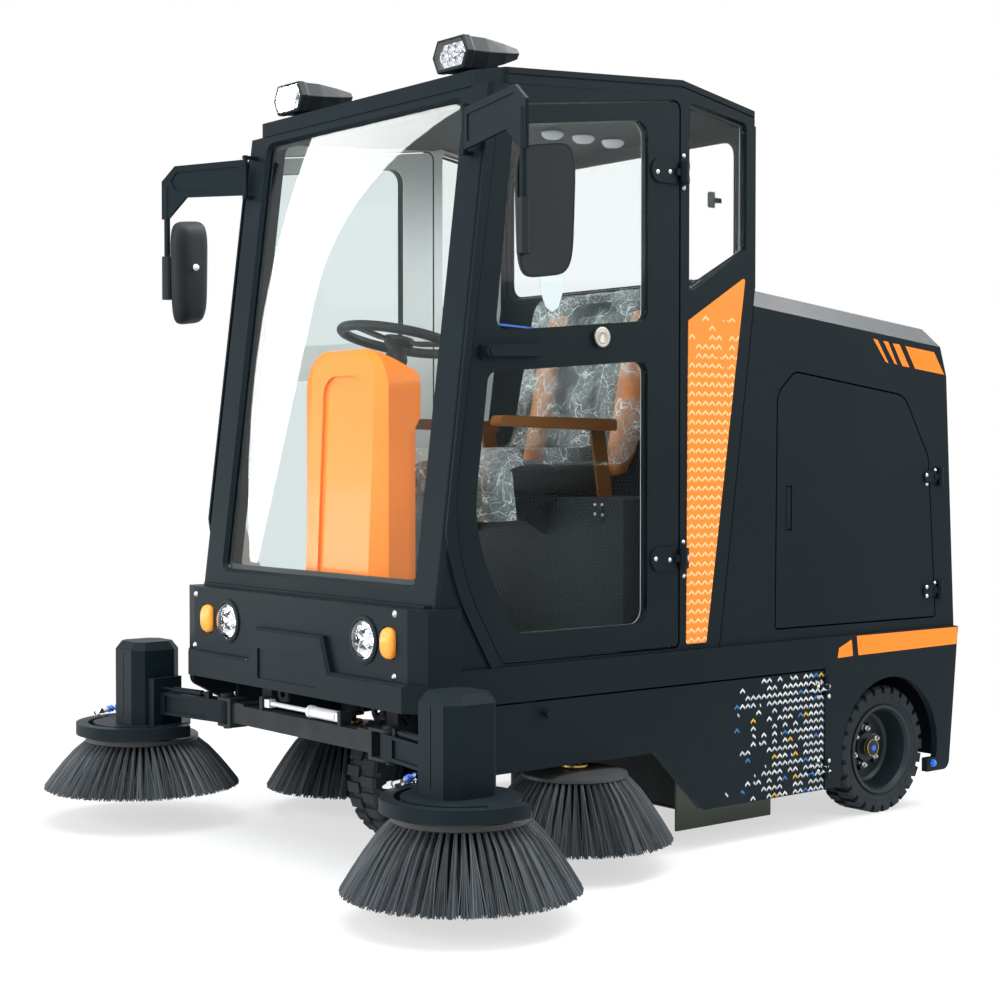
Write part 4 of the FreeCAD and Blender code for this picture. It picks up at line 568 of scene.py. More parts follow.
def make_bristles(rng, root_z, tip_z, root_radius, tip_radius, tufts, per_tuft, width):
    """Bristles of one brush about the Z axis, in millimetres, with a tone for each point.

    At the share t from root to tip a bristle lies at radius r + (R - r) * t ** FLARE, at height
    root + (tip - root) * t, and at angle a + drift * t. Its three sides stand at
    width * (1 - 0.1 * t) from its middle line. Outer layers reach further out and further down.
    """
    count = tufts * per_tuft
    tuft = np.repeat(np.arange(tufts), per_tuft)
    layer = rng.random(count)
    root_angle = 2 * np.pi * (tuft + 0.32 * (rng.random(count) - 0.5)) / tufts
    drift = 2 * np.pi / tufts * 0.62 * (rng.random(count) - 0.5)
    drift = drift + 0.02 * rng.standard_normal(count)
    r = root_radius[0] + (root_radius[1] - root_radius[0]) * layer
    reach = tip_radius * (0.87 + 0.13 * layer ** 0.6) - 4.0 * rng.random(count) ** 2
    end = tip_z + 5.0 * rng.random(count) ** 2 + 12.0 * (1 - layer)
    t = BRISTLE_STEPS[None, :]
    radius = r[:, None] + (reach - r)[:, None] * t ** FLARE
    angle = root_angle[:, None] + drift[:, None] * t
    height = root_z + (end - root_z)[:, None] * t
    middle = np.stack([radius * np.cos(angle), radius * np.sin(angle), height], axis=-1)
    outward = np.stack([np.cos(angle), np.sin(angle), np.full_like(angle, 0.6)], axis=-1) / 1.166
    sideways = np.stack([-np.sin(angle), np.cos(angle), np.zeros_like(angle)], axis=-1)
    size = (width * (1 - 0.1 * t) * (0.8 + 0.4 * rng.random(count))[:, None])[..., None]
    corners = [middle + size * (np.cos(a) * outward + np.sin(a) * sideways)
               for a in (0.0, 2 * np.pi / 3, 4 * np.pi / 3)]
    points = np.stack(corners, axis=2)
    steps = points.shape[1]
    pattern = grid_faces(steps, 3, wrap_columns=True)[:, ::-1]
    starts = np.arange(count)[:, None, None] * steps * 3
    quads = (pattern[None] + starts).reshape(-1, 4)
    last = steps * 3
    caps = np.array([[0, 1, 2], [last - 1, last - 2, last - 3]])
    ends = (caps[None] + starts).reshape(-1, 3)
    tone = np.repeat(rng.random(count) ** 1.4, steps * 3)
    return points.reshape(-1, 3), [quads, ends], tone


# %% [markdown]
# Each bristle carries a random tone as a number on its points. The finish reads that number, so that single
# bristles stand out from the mass. The core is nearly black as painted shade, and the discs are moulded
# plastic with a little dust on top.

# %% Brush finishes


def make_bristle_finish():
    """Dull plastic whose tone changes from bristle to bristle, from nearly black to a pale grey."""
    material = grained("bristle", (0.016, 0.021, 0.025), (0.034, 0.041, 0.046), 0.42, 0.2, 150.0, 0.0004,
                       specular=0.3)
    tree = material.node_tree
    shader = tree.nodes["Principled BSDF"]
    tone = tree.nodes.new("ShaderNodeAttribute")
    tone.attribute_name = "strand_tone"
    before = shader.inputs["Base Color"].links[0].from_socket
    light = math_node(tree, "MULTIPLY", tone.outputs["Fac"], 0.75)
    link(tree, mix_colour(tree, light, before, (0.16, 0.18, 0.195)), shader.inputs["Base Color"])
    return material


bristle = make_bristle_finish()
# Painted shade: the core's near-black stands in for the shadowed depth inside the bristle skirt.
painted_shade_core = grained("painted_shade_core", (0.003, 0.003, 0.003), (0.006, 0.006, 0.006), 0.9, 0.05, 200.0,
                    0.0005, specular=0.1)
disc_plastic = grained("disc_plastic", (0.022, 0.025, 0.027), (0.040, 0.044, 0.047), 0.42, 0.15, 300.0,
                       0.0005, specular=0.3, upward=0.12, dust_colour=(0.12, 0.12, 0.115))
print("brush finishes:", bristle.name, painted_shade_core.name, disc_plastic.name)

# %% [markdown]
# A brush is put together from its bristles, the cone and the disc, all riding on one body, so that
# it spins as one. The two front brushes are larger. The right one hangs 30 mm higher than the left
# one, as the machine stands in the photograph.

# %% Side brushes


def ribbed_cone(root_z, tip_z, root_radius, tip_radius, ribs=72):
    """The cone of painted shade inside: radius r + (R - r) * t ** FLARE, with ribs 1.5 % of it high."""
    t = np.linspace(0.0, 1.0, 8)
    angle = np.linspace(0.0, 2 * np.pi, ribs * 4, endpoint=False)
    radius = root_radius + (tip_radius - root_radius) * t ** FLARE
    radius = radius[:, None] * (1 + 0.015 * np.cos(ribs * angle)[None])
    height = np.broadcast_to((root_z + (tip_z - root_z) * t)[:, None], radius.shape)
    return loft(np.stack([radius * np.cos(angle), radius * np.sin(angle), height], axis=-1))


def make_brush(name, centre, root_z, tip_z, root_radius, tip_radius, disc, tufts, seed):
    """One side brush: its bristles, the near-black cone of painted shade inside them, and the disc that
    carries them.
    """
    rng = np.random.default_rng(seed)
    x, y = centre
    points, faces, tone = make_bristles(rng, root_z, tip_z, root_radius, tip_radius, tufts,
                                        BRISTLES_PER_TUFT, BRISTLE_WIDTH)
    points = at(points[:, 0] + x, points[:, 1] + y, points[:, 2])
    strands = put_mesh(name + "_bristles", (points, faces), name, bristle, outward=False)
    layer = strands.data.attributes.new("strand_tone", "FLOAT", "POINT")
    layer.data.foreach_set("value", tone)
    cone_points, cone_faces = ribbed_cone(root_z, tip_z + 6, root_radius[0] - 6, tip_radius * 0.93)
    cone_points = at(cone_points[:, 0] + x, cone_points[:, 1] + y, cone_points[:, 2])
    core = put_mesh(name + "_core", (cone_points, cone_faces), name, painted_shade_core, smooth=True)
    plate = turned(np.array(disc) / 1000.0, at(x, y, 0.0), (0, 0, 1), 96)
    plate = put_mesh(name + "_disc", plate, name, disc_plastic)
    for piece in (strands, core, plate):
        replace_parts(piece, name)
    print(name, len(strands.data.polygons), "bristle faces")


front_disc = [(26, 240), (162, 237), (166, 240), (166, 252), (160, 257), (60, 258), (26, 258)]
inner_disc = [(26, 240), (136, 240), (142, 244), (140, 252), (118, 258), (70, 262), (26, 262)]
for side, sign, tip in (("left", 1, 70), ("right", -1, 100)):
    make_brush("front_brush_" + side, (sign * 780, -265), 240, tip + 1, (140, 163), 287, front_disc,
               60, 11 + sign)
    make_brush("inner_brush_" + side, (sign * 520, 315), 244, 73, (116, 138), 262, inner_disc,
               54, 21 + sign)

# %% [markdown]
# The cab's glass is remade with its real reach. The rear pane fills nearly the whole wall behind the
# seat, so that the cab looks bright from the side, and the wall shrinks to a frame around it. Panes
# are flat plates with round corners and a fine black edge.

# %% Panes
GLASS = 0.006
SCREEN_Y, SCREEN_Z, SCREEN_LEAN = -178.0, 709.0, 0.128053


def rounded(half_width, low, high, radius, count=6):
    """Corners of a rounded rectangle as (x, z) points, anticlockwise from the lower right."""
    turn = np.linspace(0.0, np.pi / 2, count)
    ring = []
    for x, z, start in ((half_width, low, -np.pi / 2), (half_width, high, 0.0),
                        (-half_width, high, np.pi / 2), (-half_width, low, np.pi)):
        cx = x - radius * np.sign(x)
        cz = z + radius if z == low else z - radius
        arc = start + turn
        ring.append(np.stack([cx + radius * np.cos(arc), cz + radius * np.sin(arc)], axis=-1))
    return np.concatenate(ring)


def frame_between(outer, inner, shift):
    """A flat frame: two rings of equal counts, each doubled by a shift, with skins between all."""
    shift = np.asarray(shift, float)
    rings = np.stack([outer, inner, inner + shift, outer + shift])
    count, size = rings.shape[0], rings.shape[1]
    return rings.reshape(-1, 3), [grid_faces(count, size, wrap_rows=True, wrap_columns=True)]


def screen_point(x, z, depth):
    """A point behind the face of the windscreen frame: y = foot + lean * (z - foot's z) + depth."""
    return at(x, SCREEN_Y + SCREEN_LEAN * (z - SCREEN_Z) + depth, z)


def pane(name, ring, shift, glass, border):
    """A glass plate with a black edge band just off one face, border of its half size wide."""
    middle = ring.mean(axis=0)
    shift = np.asarray(shift)
    plate = put_mesh(name, slab(ring, 1.0, shift), "chassis", glass)
    inner = middle + (ring - middle) * (1.0 - border)
    band = frame_between(ring + shift * 1.08, inner + shift * 1.08, shift * 0.12)
    rim = put_mesh(name + "_edge", band, "chassis", black_plastic)
    for piece in (plate, rim):
        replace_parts(piece, "cab_glass")
    print(name, "spans", np.round(ring.max(axis=0) - ring.min(axis=0), 3))


screen_ring = rounded(462.0, 761.0, 1988.0, 22.0)
pane("windscreen", screen_point(screen_ring[:, 0], screen_ring[:, 1], 14.0), (0.0, GLASS, 0.0),
     screen_glass, 0.022)
rear_ring = rounded(507.0, 1592.0, 1984.0, 40.0)
pane("rear_pane", at(rear_ring[:, 0], 931.0, rear_ring[:, 1]), (0.0, GLASS, 0.0), pale_glass, 0.03)

quarter = np.array([(684.0, 1541.0), (908.0, 1664.0), (908.0, 2006.0), (684.0, 2043.0)])
for side, sign in (("left", 1), ("right", -1)):
    shape = bmesh.new()
    corners = [shape.verts.new(at(sign * 557.0, y, z)) for y, z in quarter]
    shape.faces.new(corners)
    bmesh.ops.bevel(shape, geom=shape.verts[:], offset=0.014, segments=4, affect="VERTICES")
    shape.verts.ensure_lookup_table()
    ring = np.array([loop.vert.co[:] for loop in list(shape.faces)[0].loops])
    shape.free()
    pane("quarter_pane_" + side, ring, (sign * GLASS, 0.0, 0.0), pale_glass, 0.035)

# %% [markdown]
# What is left of the wall behind the seat is a thin frame round the pane, a plain lower wall that
# slants down to the floor, and a rubber seal in the opening. The frame is one closed skin through
# four rings, so its corners need no boolean cut.

# %% The wall behind the seat
WALL_HALF, WALL_Y, WALL_FOOT_Y, WALL_DEPTH, WALL_WAIST_Z = 541.0, 920.0, 779.0, 25.0, 1562.0
WINDOW_MIDDLE_Z = 1785.0


def wall_ring(y, z):
    """Four corners of the lower wall at one height."""
    return at([-WALL_HALF, WALL_HALF, WALL_HALF, -WALL_HALF], [y, y, y + WALL_DEPTH, y + WALL_DEPTH], z)


hole = rounded(515.0, 1578.0, 1992.0, 46.0)
rim_outer = rounded(WALL_HALF, WALL_WAIST_Z, 2013.0, 4.0)
wall = frame_between(at(rim_outer[:, 0], WALL_Y, rim_outer[:, 1]), at(hole[:, 0], WALL_Y, hole[:, 1]),
                     (0.0, WALL_DEPTH / 1000.0, 0.0))
lower = loft([wall_ring(WALL_Y, WALL_WAIST_Z), wall_ring(WALL_FOOT_Y, 553.0), wall_ring(WALL_FOOT_Y, 500.0)])
seal_z = WINDOW_MIDDLE_Z + (hole[:, 1] - WINDOW_MIDDLE_Z) * 0.94
seal = frame_between(at(hole[:, 0] * 0.998, WALL_Y + 6.0, hole[:, 1]),
                     at(hole[:, 0] * 0.975, WALL_Y + 6.0, seal_z), (0.0, 0.014, 0.0))
wall_piece = put_mesh("cab_rear_frame", wall, "chassis", body_paint)
lower_piece = put_mesh("cab_rear_lower", lower, "chassis", body_paint)
seal_piece = put_mesh("rear_window_seal", seal, "chassis", rubber)
for piece in (wall_piece, lower_piece, seal_piece):
    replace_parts(piece, "cab_rear_wall")
print("rear window:", 2 * hole[:, 0].max(), "by", hole[:, 1].max() - hole[:, 1].min(), "mm")

# %% [markdown]
# Under the rear of the roof hang three small round lamps with pale lenses. Grey headlining closes the
# roof above the seat.

# %% Ceiling
ROOF_BREAK_Y, ROOF_BREAK_Z, ROOF_FALL, ROOF_SLOPE_LENGTH = 657.0, 2061.0, 53.0, 288.0
ceiling_lamp = [(0.0, -0.016), (0.022, -0.015), (0.031, -0.008), (0.034, 0.0), (0.034, 0.004)]
lamp_white = grained("lamp_white", (0.70, 0.72, 0.76), (0.85, 0.87, 0.92), 0.3, 0.1, 300.0, 0.0002)
headlining = grained("headlining", (0.055, 0.065, 0.068), (0.085, 0.098, 0.10), 0.8, 0.1, 900.0,
                     0.0006, specular=0.1)
lining = at([-530.0, 530.0, 530.0, -530.0], [60.0, 60.0, 640.0, 640.0], [2009.0, 2009.0, 2048.0, 2048.0])
put_mesh("headlining", slab(lining, 0.004, (0.0, 0.0, 1.0)), "chassis", headlining)
for number, (x, y) in enumerate(((-48.0, 722.0), (12.0, 792.0), (66.0, 862.0))):
    z = ROOF_BREAK_Z - ROOF_FALL * (y - ROOF_BREAK_Y) / ROOF_SLOPE_LENGTH
    put_mesh("ceiling_lamp_" + str(number + 1), turned(ceiling_lamp, at(x, y, z), (0, 0, 1), 32),
             "chassis", lamp_white, smooth=True)
    print("ceiling lamp", number + 1, "at z", round(z, 1))

# %% [markdown]
# The seat is upholstered: a cushion and a tall leaning backrest, each a middle between two side
# bolsters, which are orange on the backrest. Each pad starts as a plain closed form and is then
# blown up as cloth under air pressure, so that it crowns in the middle and pulls in at its seams.
# The simulation wants even faces, so the form is meshed anew in small cubes first.

# %% Making a pad
PAD_VOXEL = 0.007
PAD_STEPS = 20


def pad_shape(stations, half_width, thickness, across=14, power=4.0):
    """Rings of a closed pad along a path of stations.

    Each station is (y, z, lean, share), where lean is the angle of the pad's thickness from the Z
    axis and share scales the section there. A section is the superellipse
    |u / half width| ** p + |v / thickness| ** p = 1.
    """
    angle = np.linspace(0.0, 2 * np.pi, across * 4, endpoint=False)
    u = np.sign(np.cos(angle)) * np.abs(np.cos(angle)) ** (2.0 / power)
    v = np.sign(np.sin(angle)) * np.abs(np.sin(angle)) ** (2.0 / power)
    rings = []
    for y, z, lean, share in stations:
        lean = math.radians(lean)
        x = u * half_width * share
        d = v * thickness * share
        rings.append(np.stack([x, y + np.sin(lean) * d, z + np.cos(lean) * d], axis=-1))
    return np.array(rings)


def evaluated_mesh(piece):
    """A new mesh of a piece as its modifiers leave it."""
    depsgraph = bpy.context.evaluated_depsgraph_get()
    return bpy.data.meshes.new_from_object(piece.evaluated_get(depsgraph))


def make_pad(name, node, rings, x_middle, finish, pressure=4.0, cap=0.010):
    """A pad from its rings: meshed evenly, swollen as cloth, and moved by no more than the cap."""
    points = rings.copy()
    points[..., 0] += x_middle
    shape = loft(at(points[..., 0], points[..., 1], points[..., 2]))
    piece = put_mesh(name, shape, "chassis", finish, smooth=True)
    scene = bpy.context.scene
    voxels = piece.modifiers.new("voxels", "REMESH")
    voxels.mode = "VOXEL"
    voxels.voxel_size = PAD_VOXEL
    voxels.use_smooth_shade = True
    bpy.context.view_layer.update()
    even = evaluated_mesh(piece)
    piece.modifiers.clear()
    piece.data = even
    even.materials.clear()
    even.materials.append(finish)
    start = np.empty(len(even.vertices) * 3)
    even.vertices.foreach_get("co", start)
    air = piece.modifiers.new("air", "CLOTH")
    air.settings.quality = 4
    air.settings.use_pressure = True
    air.settings.uniform_pressure_force = pressure
    air.settings.effector_weights.gravity = 0.0
    for step in range(1, PAD_STEPS + 1):
        scene.frame_set(step)
    swollen = evaluated_mesh(piece)
    end = np.empty(len(swollen.vertices) * 3)
    swollen.vertices.foreach_get("co", end)
    move = (end - start).reshape(-1, 3)
    length = np.linalg.norm(move, axis=1)
    move *= (np.minimum(length, cap) / np.maximum(length, 1e-9))[:, None]
    piece.modifiers.clear()
    even.vertices.foreach_set("co", (start.reshape(-1, 3) + move).ravel())
    even.update()
    bpy.data.meshes.remove(swollen)
    scene.frame_set(1)
    even.polygons.foreach_set("use_smooth", [True] * len(even.polygons))
    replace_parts(piece, node)
    print(name, len(even.polygons), "faces")


def seat_stations(low, high, lean, count=9):
    """Stations from one (y, z) to another with round ends: share = (1 - |2s - 1| ** 7) ** (1 / 7)."""
    s = np.linspace(0.0, 1.0, count)
    share = np.maximum(1.0 - np.abs(2 * s - 1) ** 7, 0.02) ** (1.0 / 7)
    return [(low[0] + (high[0] - low[0]) * k, low[1] + (high[1] - low[1]) * k, lean, g)
            for k, g in zip(s, share)]


# %% [markdown]
# The cushion lies flat and the backrest leans back. A thin moulded shell stands behind the backrest,
# and a pan lies under the cushion. Armrests, the seat's box and the floor are dressed here too,
# because they frame the seat.

# %% The seat
orange_vinyl = grained("orange_vinyl", (0.42, 0.125, 0.012), (0.56, 0.17, 0.018), 0.5, 0.12, 500.0,
                       0.0008, specular=0.25)
cushion_line = seat_stations((292.0, 1022.0), (726.0, 1022.0), 0.0)
back_line = seat_stations((770.0, 1030.0), (868.0, 1516.0), 78.0)
for label, node, line, thick, bolster, bolster_finish in (
        ("cushion", "seat_cushion", cushion_line, 40.0, 50.0, seat_vinyl),
        ("back", "seat_backrest", back_line, 36.0, 48.0, orange_vinyl)):
    make_pad("seat_" + label + "_middle", node, pad_shape(line, 148.0, thick), 0.0, seat_vinyl)
    for side, sign in (("left", 1), ("right", -1)):
        make_pad("seat_" + label + "_bolster_" + side, node, pad_shape(line, 34.0, bolster, power=2.6),
                 sign * 190.0, bolster_finish, cap=0.008)
dress("armrests", grained("armrest_vinyl", (0.13, 0.043, 0.006), (0.18, 0.060, 0.008), 0.55, 0.1,
                          500.0, 0.0006, specular=0.15))
seat_box_paint = grained("seat_box_paint", (0.010, 0.015, 0.018), (0.018, 0.026, 0.031), 0.5, 0.1,
                         700.0, 0.0002, specular=0.15)
dress("seat_box", seat_box_paint)
dress("cab_floor", seat_box_paint)
shell = pad_shape(seat_stations((800.0, 1020.0), (893.0, 1490.0), 78.0), 180.0, 11.0, power=5.0)
shell = loft(at(shell[..., 0], shell[..., 1], shell[..., 2]))
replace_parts(put_mesh("seat_back_shell", shell, "chassis", black_plastic, smooth=True),
            "seat_backrest")
pan_y = [296.0, 722.0, 730.0, 286.0]
pan_z = [968.0, 968.0, 984.0, 984.0]
pan = loft([at(-200.0, pan_y, pan_z), at(200.0, pan_y, pan_z)])
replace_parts(put_mesh("seat_pan", pan, "chassis", black_plastic), "seat_cushion")

# %% [markdown]
# A new machine keeps its seat under clear film. Its folds are painted as white threads of highlight, where
# real creases would catch the light, while the flat parts nearly vanish. An image texture could do this, but
# the edges between random cells, in three sizes and bent by noise, look the same and need no picture.

# %% Film finish


def ranged(tree, source, from_min, from_max, to_min, to_max, smooth=False):
    """A Map Range node from one range to another. Returns its output socket."""
    node = tree.nodes.new("ShaderNodeMapRange")
    if smooth:
        node.interpolation_type = "SMOOTHSTEP"
    for label, value in (("From Min", from_min), ("From Max", from_max), ("To Min", to_min),
                         ("To Max", to_max)):
        node.inputs[label].default_value = value
    link(tree, source, node.inputs["Value"])
    return node.outputs["Result"]


def make_film_finish():
    """Clear film: nearly invisible where flat, white along its creases as painted highlight.

    The creases are the edges between Voronoi cells, in three sizes, bent by noise. Opacity falls
    from an edge as strength * (1 - smoothstep(0, width, distance)).
    """
    material = bpy.data.materials.new("clear_film")
    material.use_nodes = True
    tree = material.node_tree
    shader = tree.nodes["Principled BSDF"]
    shader.inputs["Base Color"].default_value = (0.80, 0.86, 0.87, 1.0)
    shader.inputs["Roughness"].default_value = 0.2
    shader.inputs["Specular IOR Level"].default_value = 0.4
    place = tree.nodes.new("ShaderNodeTexCoord")
    bend = tree.nodes.new("ShaderNodeTexNoise")
    bend.inputs["Scale"].default_value = 11.0
    bend.inputs["Detail"].default_value = 4.0
    link(tree, place.outputs["Object"], bend.inputs["Vector"])
    shift = tree.nodes.new("ShaderNodeVectorMath")
    shift.operation = "MULTIPLY_ADD"
    shift.inputs[1].default_value = (0.16, 0.16, 0.16)
    link(tree, bend.outputs["Color"], shift.inputs[0])
    link(tree, place.outputs["Object"], shift.inputs[2])
    total = None
    # Painted highlight: the pale film turns opaque along the creases, where real folds would catch the
    # light.
    for scale, width, strength in ((9.0, 0.020, 0.9), (23.0, 0.026, 0.7), (47.0, 0.04, 0.35)):
        cells = tree.nodes.new("ShaderNodeTexVoronoi")
        cells.feature = "DISTANCE_TO_EDGE"
        cells.inputs["Scale"].default_value = scale
        link(tree, shift.outputs[0], cells.inputs["Vector"])
        edge = ranged(tree, cells.outputs["Distance"], 0.0, width, strength, 0.0, smooth=True)
        total = edge if total is None else math_node(tree, "MAXIMUM", total, edge)
    fade = ranged(tree, bend.outputs["Fac"], 0.35, 0.65, 0.25, 1.0)
    milky = math_node(tree, "MULTIPLY_ADD", bend.outputs["Fac"], 0.75, -0.22)
    milky = math_node(tree, "MAXIMUM", milky, 0.05)
    opacity = math_node(tree, "MULTIPLY_ADD", total, fade, milky)
    link(tree, opacity, shader.inputs["Alpha"])
    bump = tree.nodes.new("ShaderNodeBump")
    bump.inputs["Strength"].default_value = 0.7
    bump.inputs["Distance"].default_value = 0.004
    link(tree, total, bump.inputs["Height"])
    link(tree, bump.outputs["Normal"], shader.inputs["Normal"])
    return material


# %% [markdown]
# The film is one crinkled sheet that rises over the cushion's front, lies along it, climbs the
# backrest and folds down behind it. Its edges droop over the bolsters. A cloth simulation would need
# minutes to wrinkle film as sharply, so the folds are ridges of sines added along the normal.

# %% Clear film over the seat
FILM_COLUMNS = 84
FILM_HALF = 238.0
FILM_EDGE = 0.82


def make_film():
    """The film: a grid along the seat's outline and across it, pushed out by ridges.

    The push in millimetres is 4 + the sum of pull * |sin(size * (2.2 s cos + w sin) + phase)| / 3
    over four sizes and three directions of ridge, so the creases are sharp and the sheet stays
    outside the pads. Past the share FILM_EDGE of the width it drops over the side.
    """
    rng = np.random.default_rng(8)
    line = smooth_path([(262.0, 905.0), (258.0, 1010.0), (280.0, 1078.0), (360.0, 1092.0),
                        (520.0, 1090.0), (650.0, 1094.0), (716.0, 1112.0), (744.0, 1180.0),
                        (776.0, 1330.0), (806.0, 1470.0), (830.0, 1545.0), (880.0, 1562.0),
                        (912.0, 1530.0), (908.0, 1400.0)], 110)
    along = np.gradient(line, axis=0)
    along /= np.linalg.norm(along, axis=1)[:, None]
    normal = np.stack([-along[:, 1], along[:, 0]], axis=-1)
    s = np.linspace(0.0, 1.0, len(line))[:, None]
    w = np.linspace(-1.0, 1.0, FILM_COLUMNS)[None, :]
    over = np.maximum(np.abs(w) - FILM_EDGE, 0.0) / 0.18
    x = np.sign(w) * np.minimum(np.abs(w), FILM_EDGE) / FILM_EDGE * FILM_HALF
    x = np.broadcast_to(x + np.sign(w) * 12.0 * over, (len(line), FILM_COLUMNS))
    push = np.zeros_like(x)
    for size, pull in ((3.0, 8.0), (6.0, 5.0), (13.0, 3.0), (27.0, 1.4)):
        for _ in range(3):
            turn = rng.uniform(0, np.pi)
            phase = rng.uniform(0, 2 * np.pi)
            wave = size * (np.cos(turn) * s * 2.2 + np.sin(turn) * w) + phase
            push += pull * np.abs(np.sin(wave)) / 3.0
    push = push + 4.0
    drop = -88.0 * over ** 1.2 * (0.75 + 0.25 * np.sin(9.0 * s + 2.0))
    y = line[:, None, 0] + normal[:, None, 0] * (push + drop)
    z = line[:, None, 1] + normal[:, None, 1] * (push + drop)
    x = x + np.sign(w) * over * push * 0.5
    points = at(x, y, z).reshape(-1, 3)
    film = put_mesh("seat_film", (points, [grid_faces(len(line), FILM_COLUMNS)]), "chassis",
                    make_film_finish(), smooth=True, outward=False)


make_film()

# %% [markdown]
# The lamps are bright because light comes back out of them. Each has a chrome reflector made of
# small bowls, pale chips in the bowls, and a thin clear lens in front. The turn signals and the tail
# lamps are ribbed coloured plastic.

# %% Lamp finishes
chrome = grained("chrome", (0.75, 0.77, 0.80), (0.92, 0.93, 0.95), 0.08, 0.06, 200.0, 0.0001,
                 metallic=1.0)
chip = grained("chip", (0.85, 0.82, 0.70), (1.0, 0.96, 0.85), 0.4, 0.05, 400.0, 0.0001)


def ribbed_plastic(name, dark, light, pitch=150.0):
    """Coloured lens plastic with fine upright ribs, worked as a bump from a wave."""
    material = grained(name, dark, light, 0.18, 0.06, 300.0, 0.0001, specular=0.4, coat=0.3)
    tree = material.node_tree
    shader = tree.nodes["Principled BSDF"]
    place = tree.nodes.new("ShaderNodeTexCoord")
    ribs = tree.nodes.new("ShaderNodeTexWave")
    ribs.bands_direction = "X"
    ribs.inputs["Scale"].default_value = pitch
    link(tree, place.outputs["Object"], ribs.inputs["Vector"])
    bump = tree.nodes.new("ShaderNodeBump")
    bump.inputs["Strength"].default_value = 0.5
    bump.inputs["Distance"].default_value = 0.0008
    link(tree, ribs.outputs["Fac"], bump.inputs["Height"])
    link(tree, bump.outputs["Normal"], shader.inputs["Normal"])
    return material


amber_plastic = ribbed_plastic("amber_plastic", (0.95, 0.30, 0.02), (1.0, 0.42, 0.05))
red_plastic = ribbed_plastic("red_lens", (0.42, 0.006, 0.012), (0.62, 0.014, 0.02))
print("lamp finishes:", chrome.name, chip.name, amber_plastic.name, red_plastic.name)

# %% [markdown]
# A turn signal and a tail lamp are soft domes on upright faces. A superellipse gives their outline,
# between an ellipse and a rectangle, and it shrinks quickly near the crown.

# %% Turn signals and tail lamps
SUPER = 2.6


def lens_dome(x, y, z, half_width, half_height, bulge, way, power=3.0):
    """A bulged lens on an upright face: superellipse rings |x/a| ** p + |z/b| ** p = 1.

    The ring at the share s of the bulge has the size (1 - s ** SUPER) ** (1 / SUPER).
    """
    angle = np.linspace(0.0, 2 * np.pi, 40, endpoint=False)
    u = np.sign(np.cos(angle)) * np.abs(np.cos(angle)) ** (2.0 / power) * half_width
    v = np.sign(np.sin(angle)) * np.abs(np.sin(angle)) ** (2.0 / power) * half_height
    rings = [at(x + u, y - way * 12.0, z + v)]
    for share in (0.0, 0.3, 0.55, 0.75, 0.9, 0.985):
        size = (1.0 - share ** SUPER) ** (1 / SUPER)
        rings.append(at(x + u * size, y + way * bulge * share, z + v * size))
    return loft(rings)


ambers = merged(
    [lens_dome(sign * 444.0, -230.0, 621.0, 28.0, 40.0, 21.0, -1, 2.6) for sign in (-1, 1)]
    + [lens_dome(sign * 520.0, 1822.0, 1028.0, 36.0, 37.0, 38.0, 1) for sign in (-1, 1)])
reds = merged([lens_dome(sign * 520.0, 1830.0, 856.0, 36.0, 40.0, 32.0, 1) for sign in (-1, 1)])
amber_piece = put_mesh("amber_lenses", ambers, "chassis", amber_plastic, smooth=True)
red_piece = put_mesh("red_lenses", reds, "chassis", red_plastic, smooth=True)
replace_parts(amber_piece, "amber_lamps")
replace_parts(red_piece, "red_lamps")
print("domes:", len(amber_piece.data.polygons), "and", len(red_piece.data.polygons), "faces")

# %% [markdown]
# A reflector is a sheet that takes at each point the depth of the nearest bowl, so the bowls meet in
# sharp ridges as pressed ones do. A pale chip sits in the bottom of each bowl.

# %% Reflectors and chips


def bowls(centre, half_width, half_height, cells, size, depth, count=56):
    """A reflector sheet that faces -Y: at each point the depth of the nearest bowl.

    A point (x, z) lies at y0 + depth * (1 - min(d / size, 1) ** 2), with d its distance from the
    nearest bowl's middle.
    """
    x, z = np.meshgrid(np.linspace(-1.0, 1.0, count), np.linspace(-1.0, 1.0, count), indexing="ij")
    if half_width == half_height:
        x, z = x * np.sqrt(1 - z * z / 2), z * np.sqrt(1 - x * x / 2)
    x, z = x * half_width, z * half_height
    d = np.min([np.hypot(x - cx, z - cz) for cx, cz in cells], axis=0)
    y = depth * (1.0 - np.minimum(d / size, 1.0) ** 2)
    points = at(centre[0] + x, centre[1] + y, centre[2] + z).reshape(-1, 3)
    return points, [grid_faces(count, count)[:, ::-1]]


def chips(centre, cells, depth, radius=3.2):
    """Small pale domes at the bottom of each bowl."""
    dome = [(0.0, 0.003), (radius * 0.0006, 0.0026), (radius * 0.001, 0.001), (radius * 0.001, -0.001)]
    return merged([turned(dome, at(centre[0] + cx, centre[1] + depth - 1.0, centre[2] + cz),
                          (0, -1, 0), 10) for cx, cz in cells])


# %% [markdown]
# A headlamp is round: seven bowls in a ring of black plastic, closed by a domed lens and a back
# plate. The lens is a thin shell with two faces, so light passes it as it passes a real one.

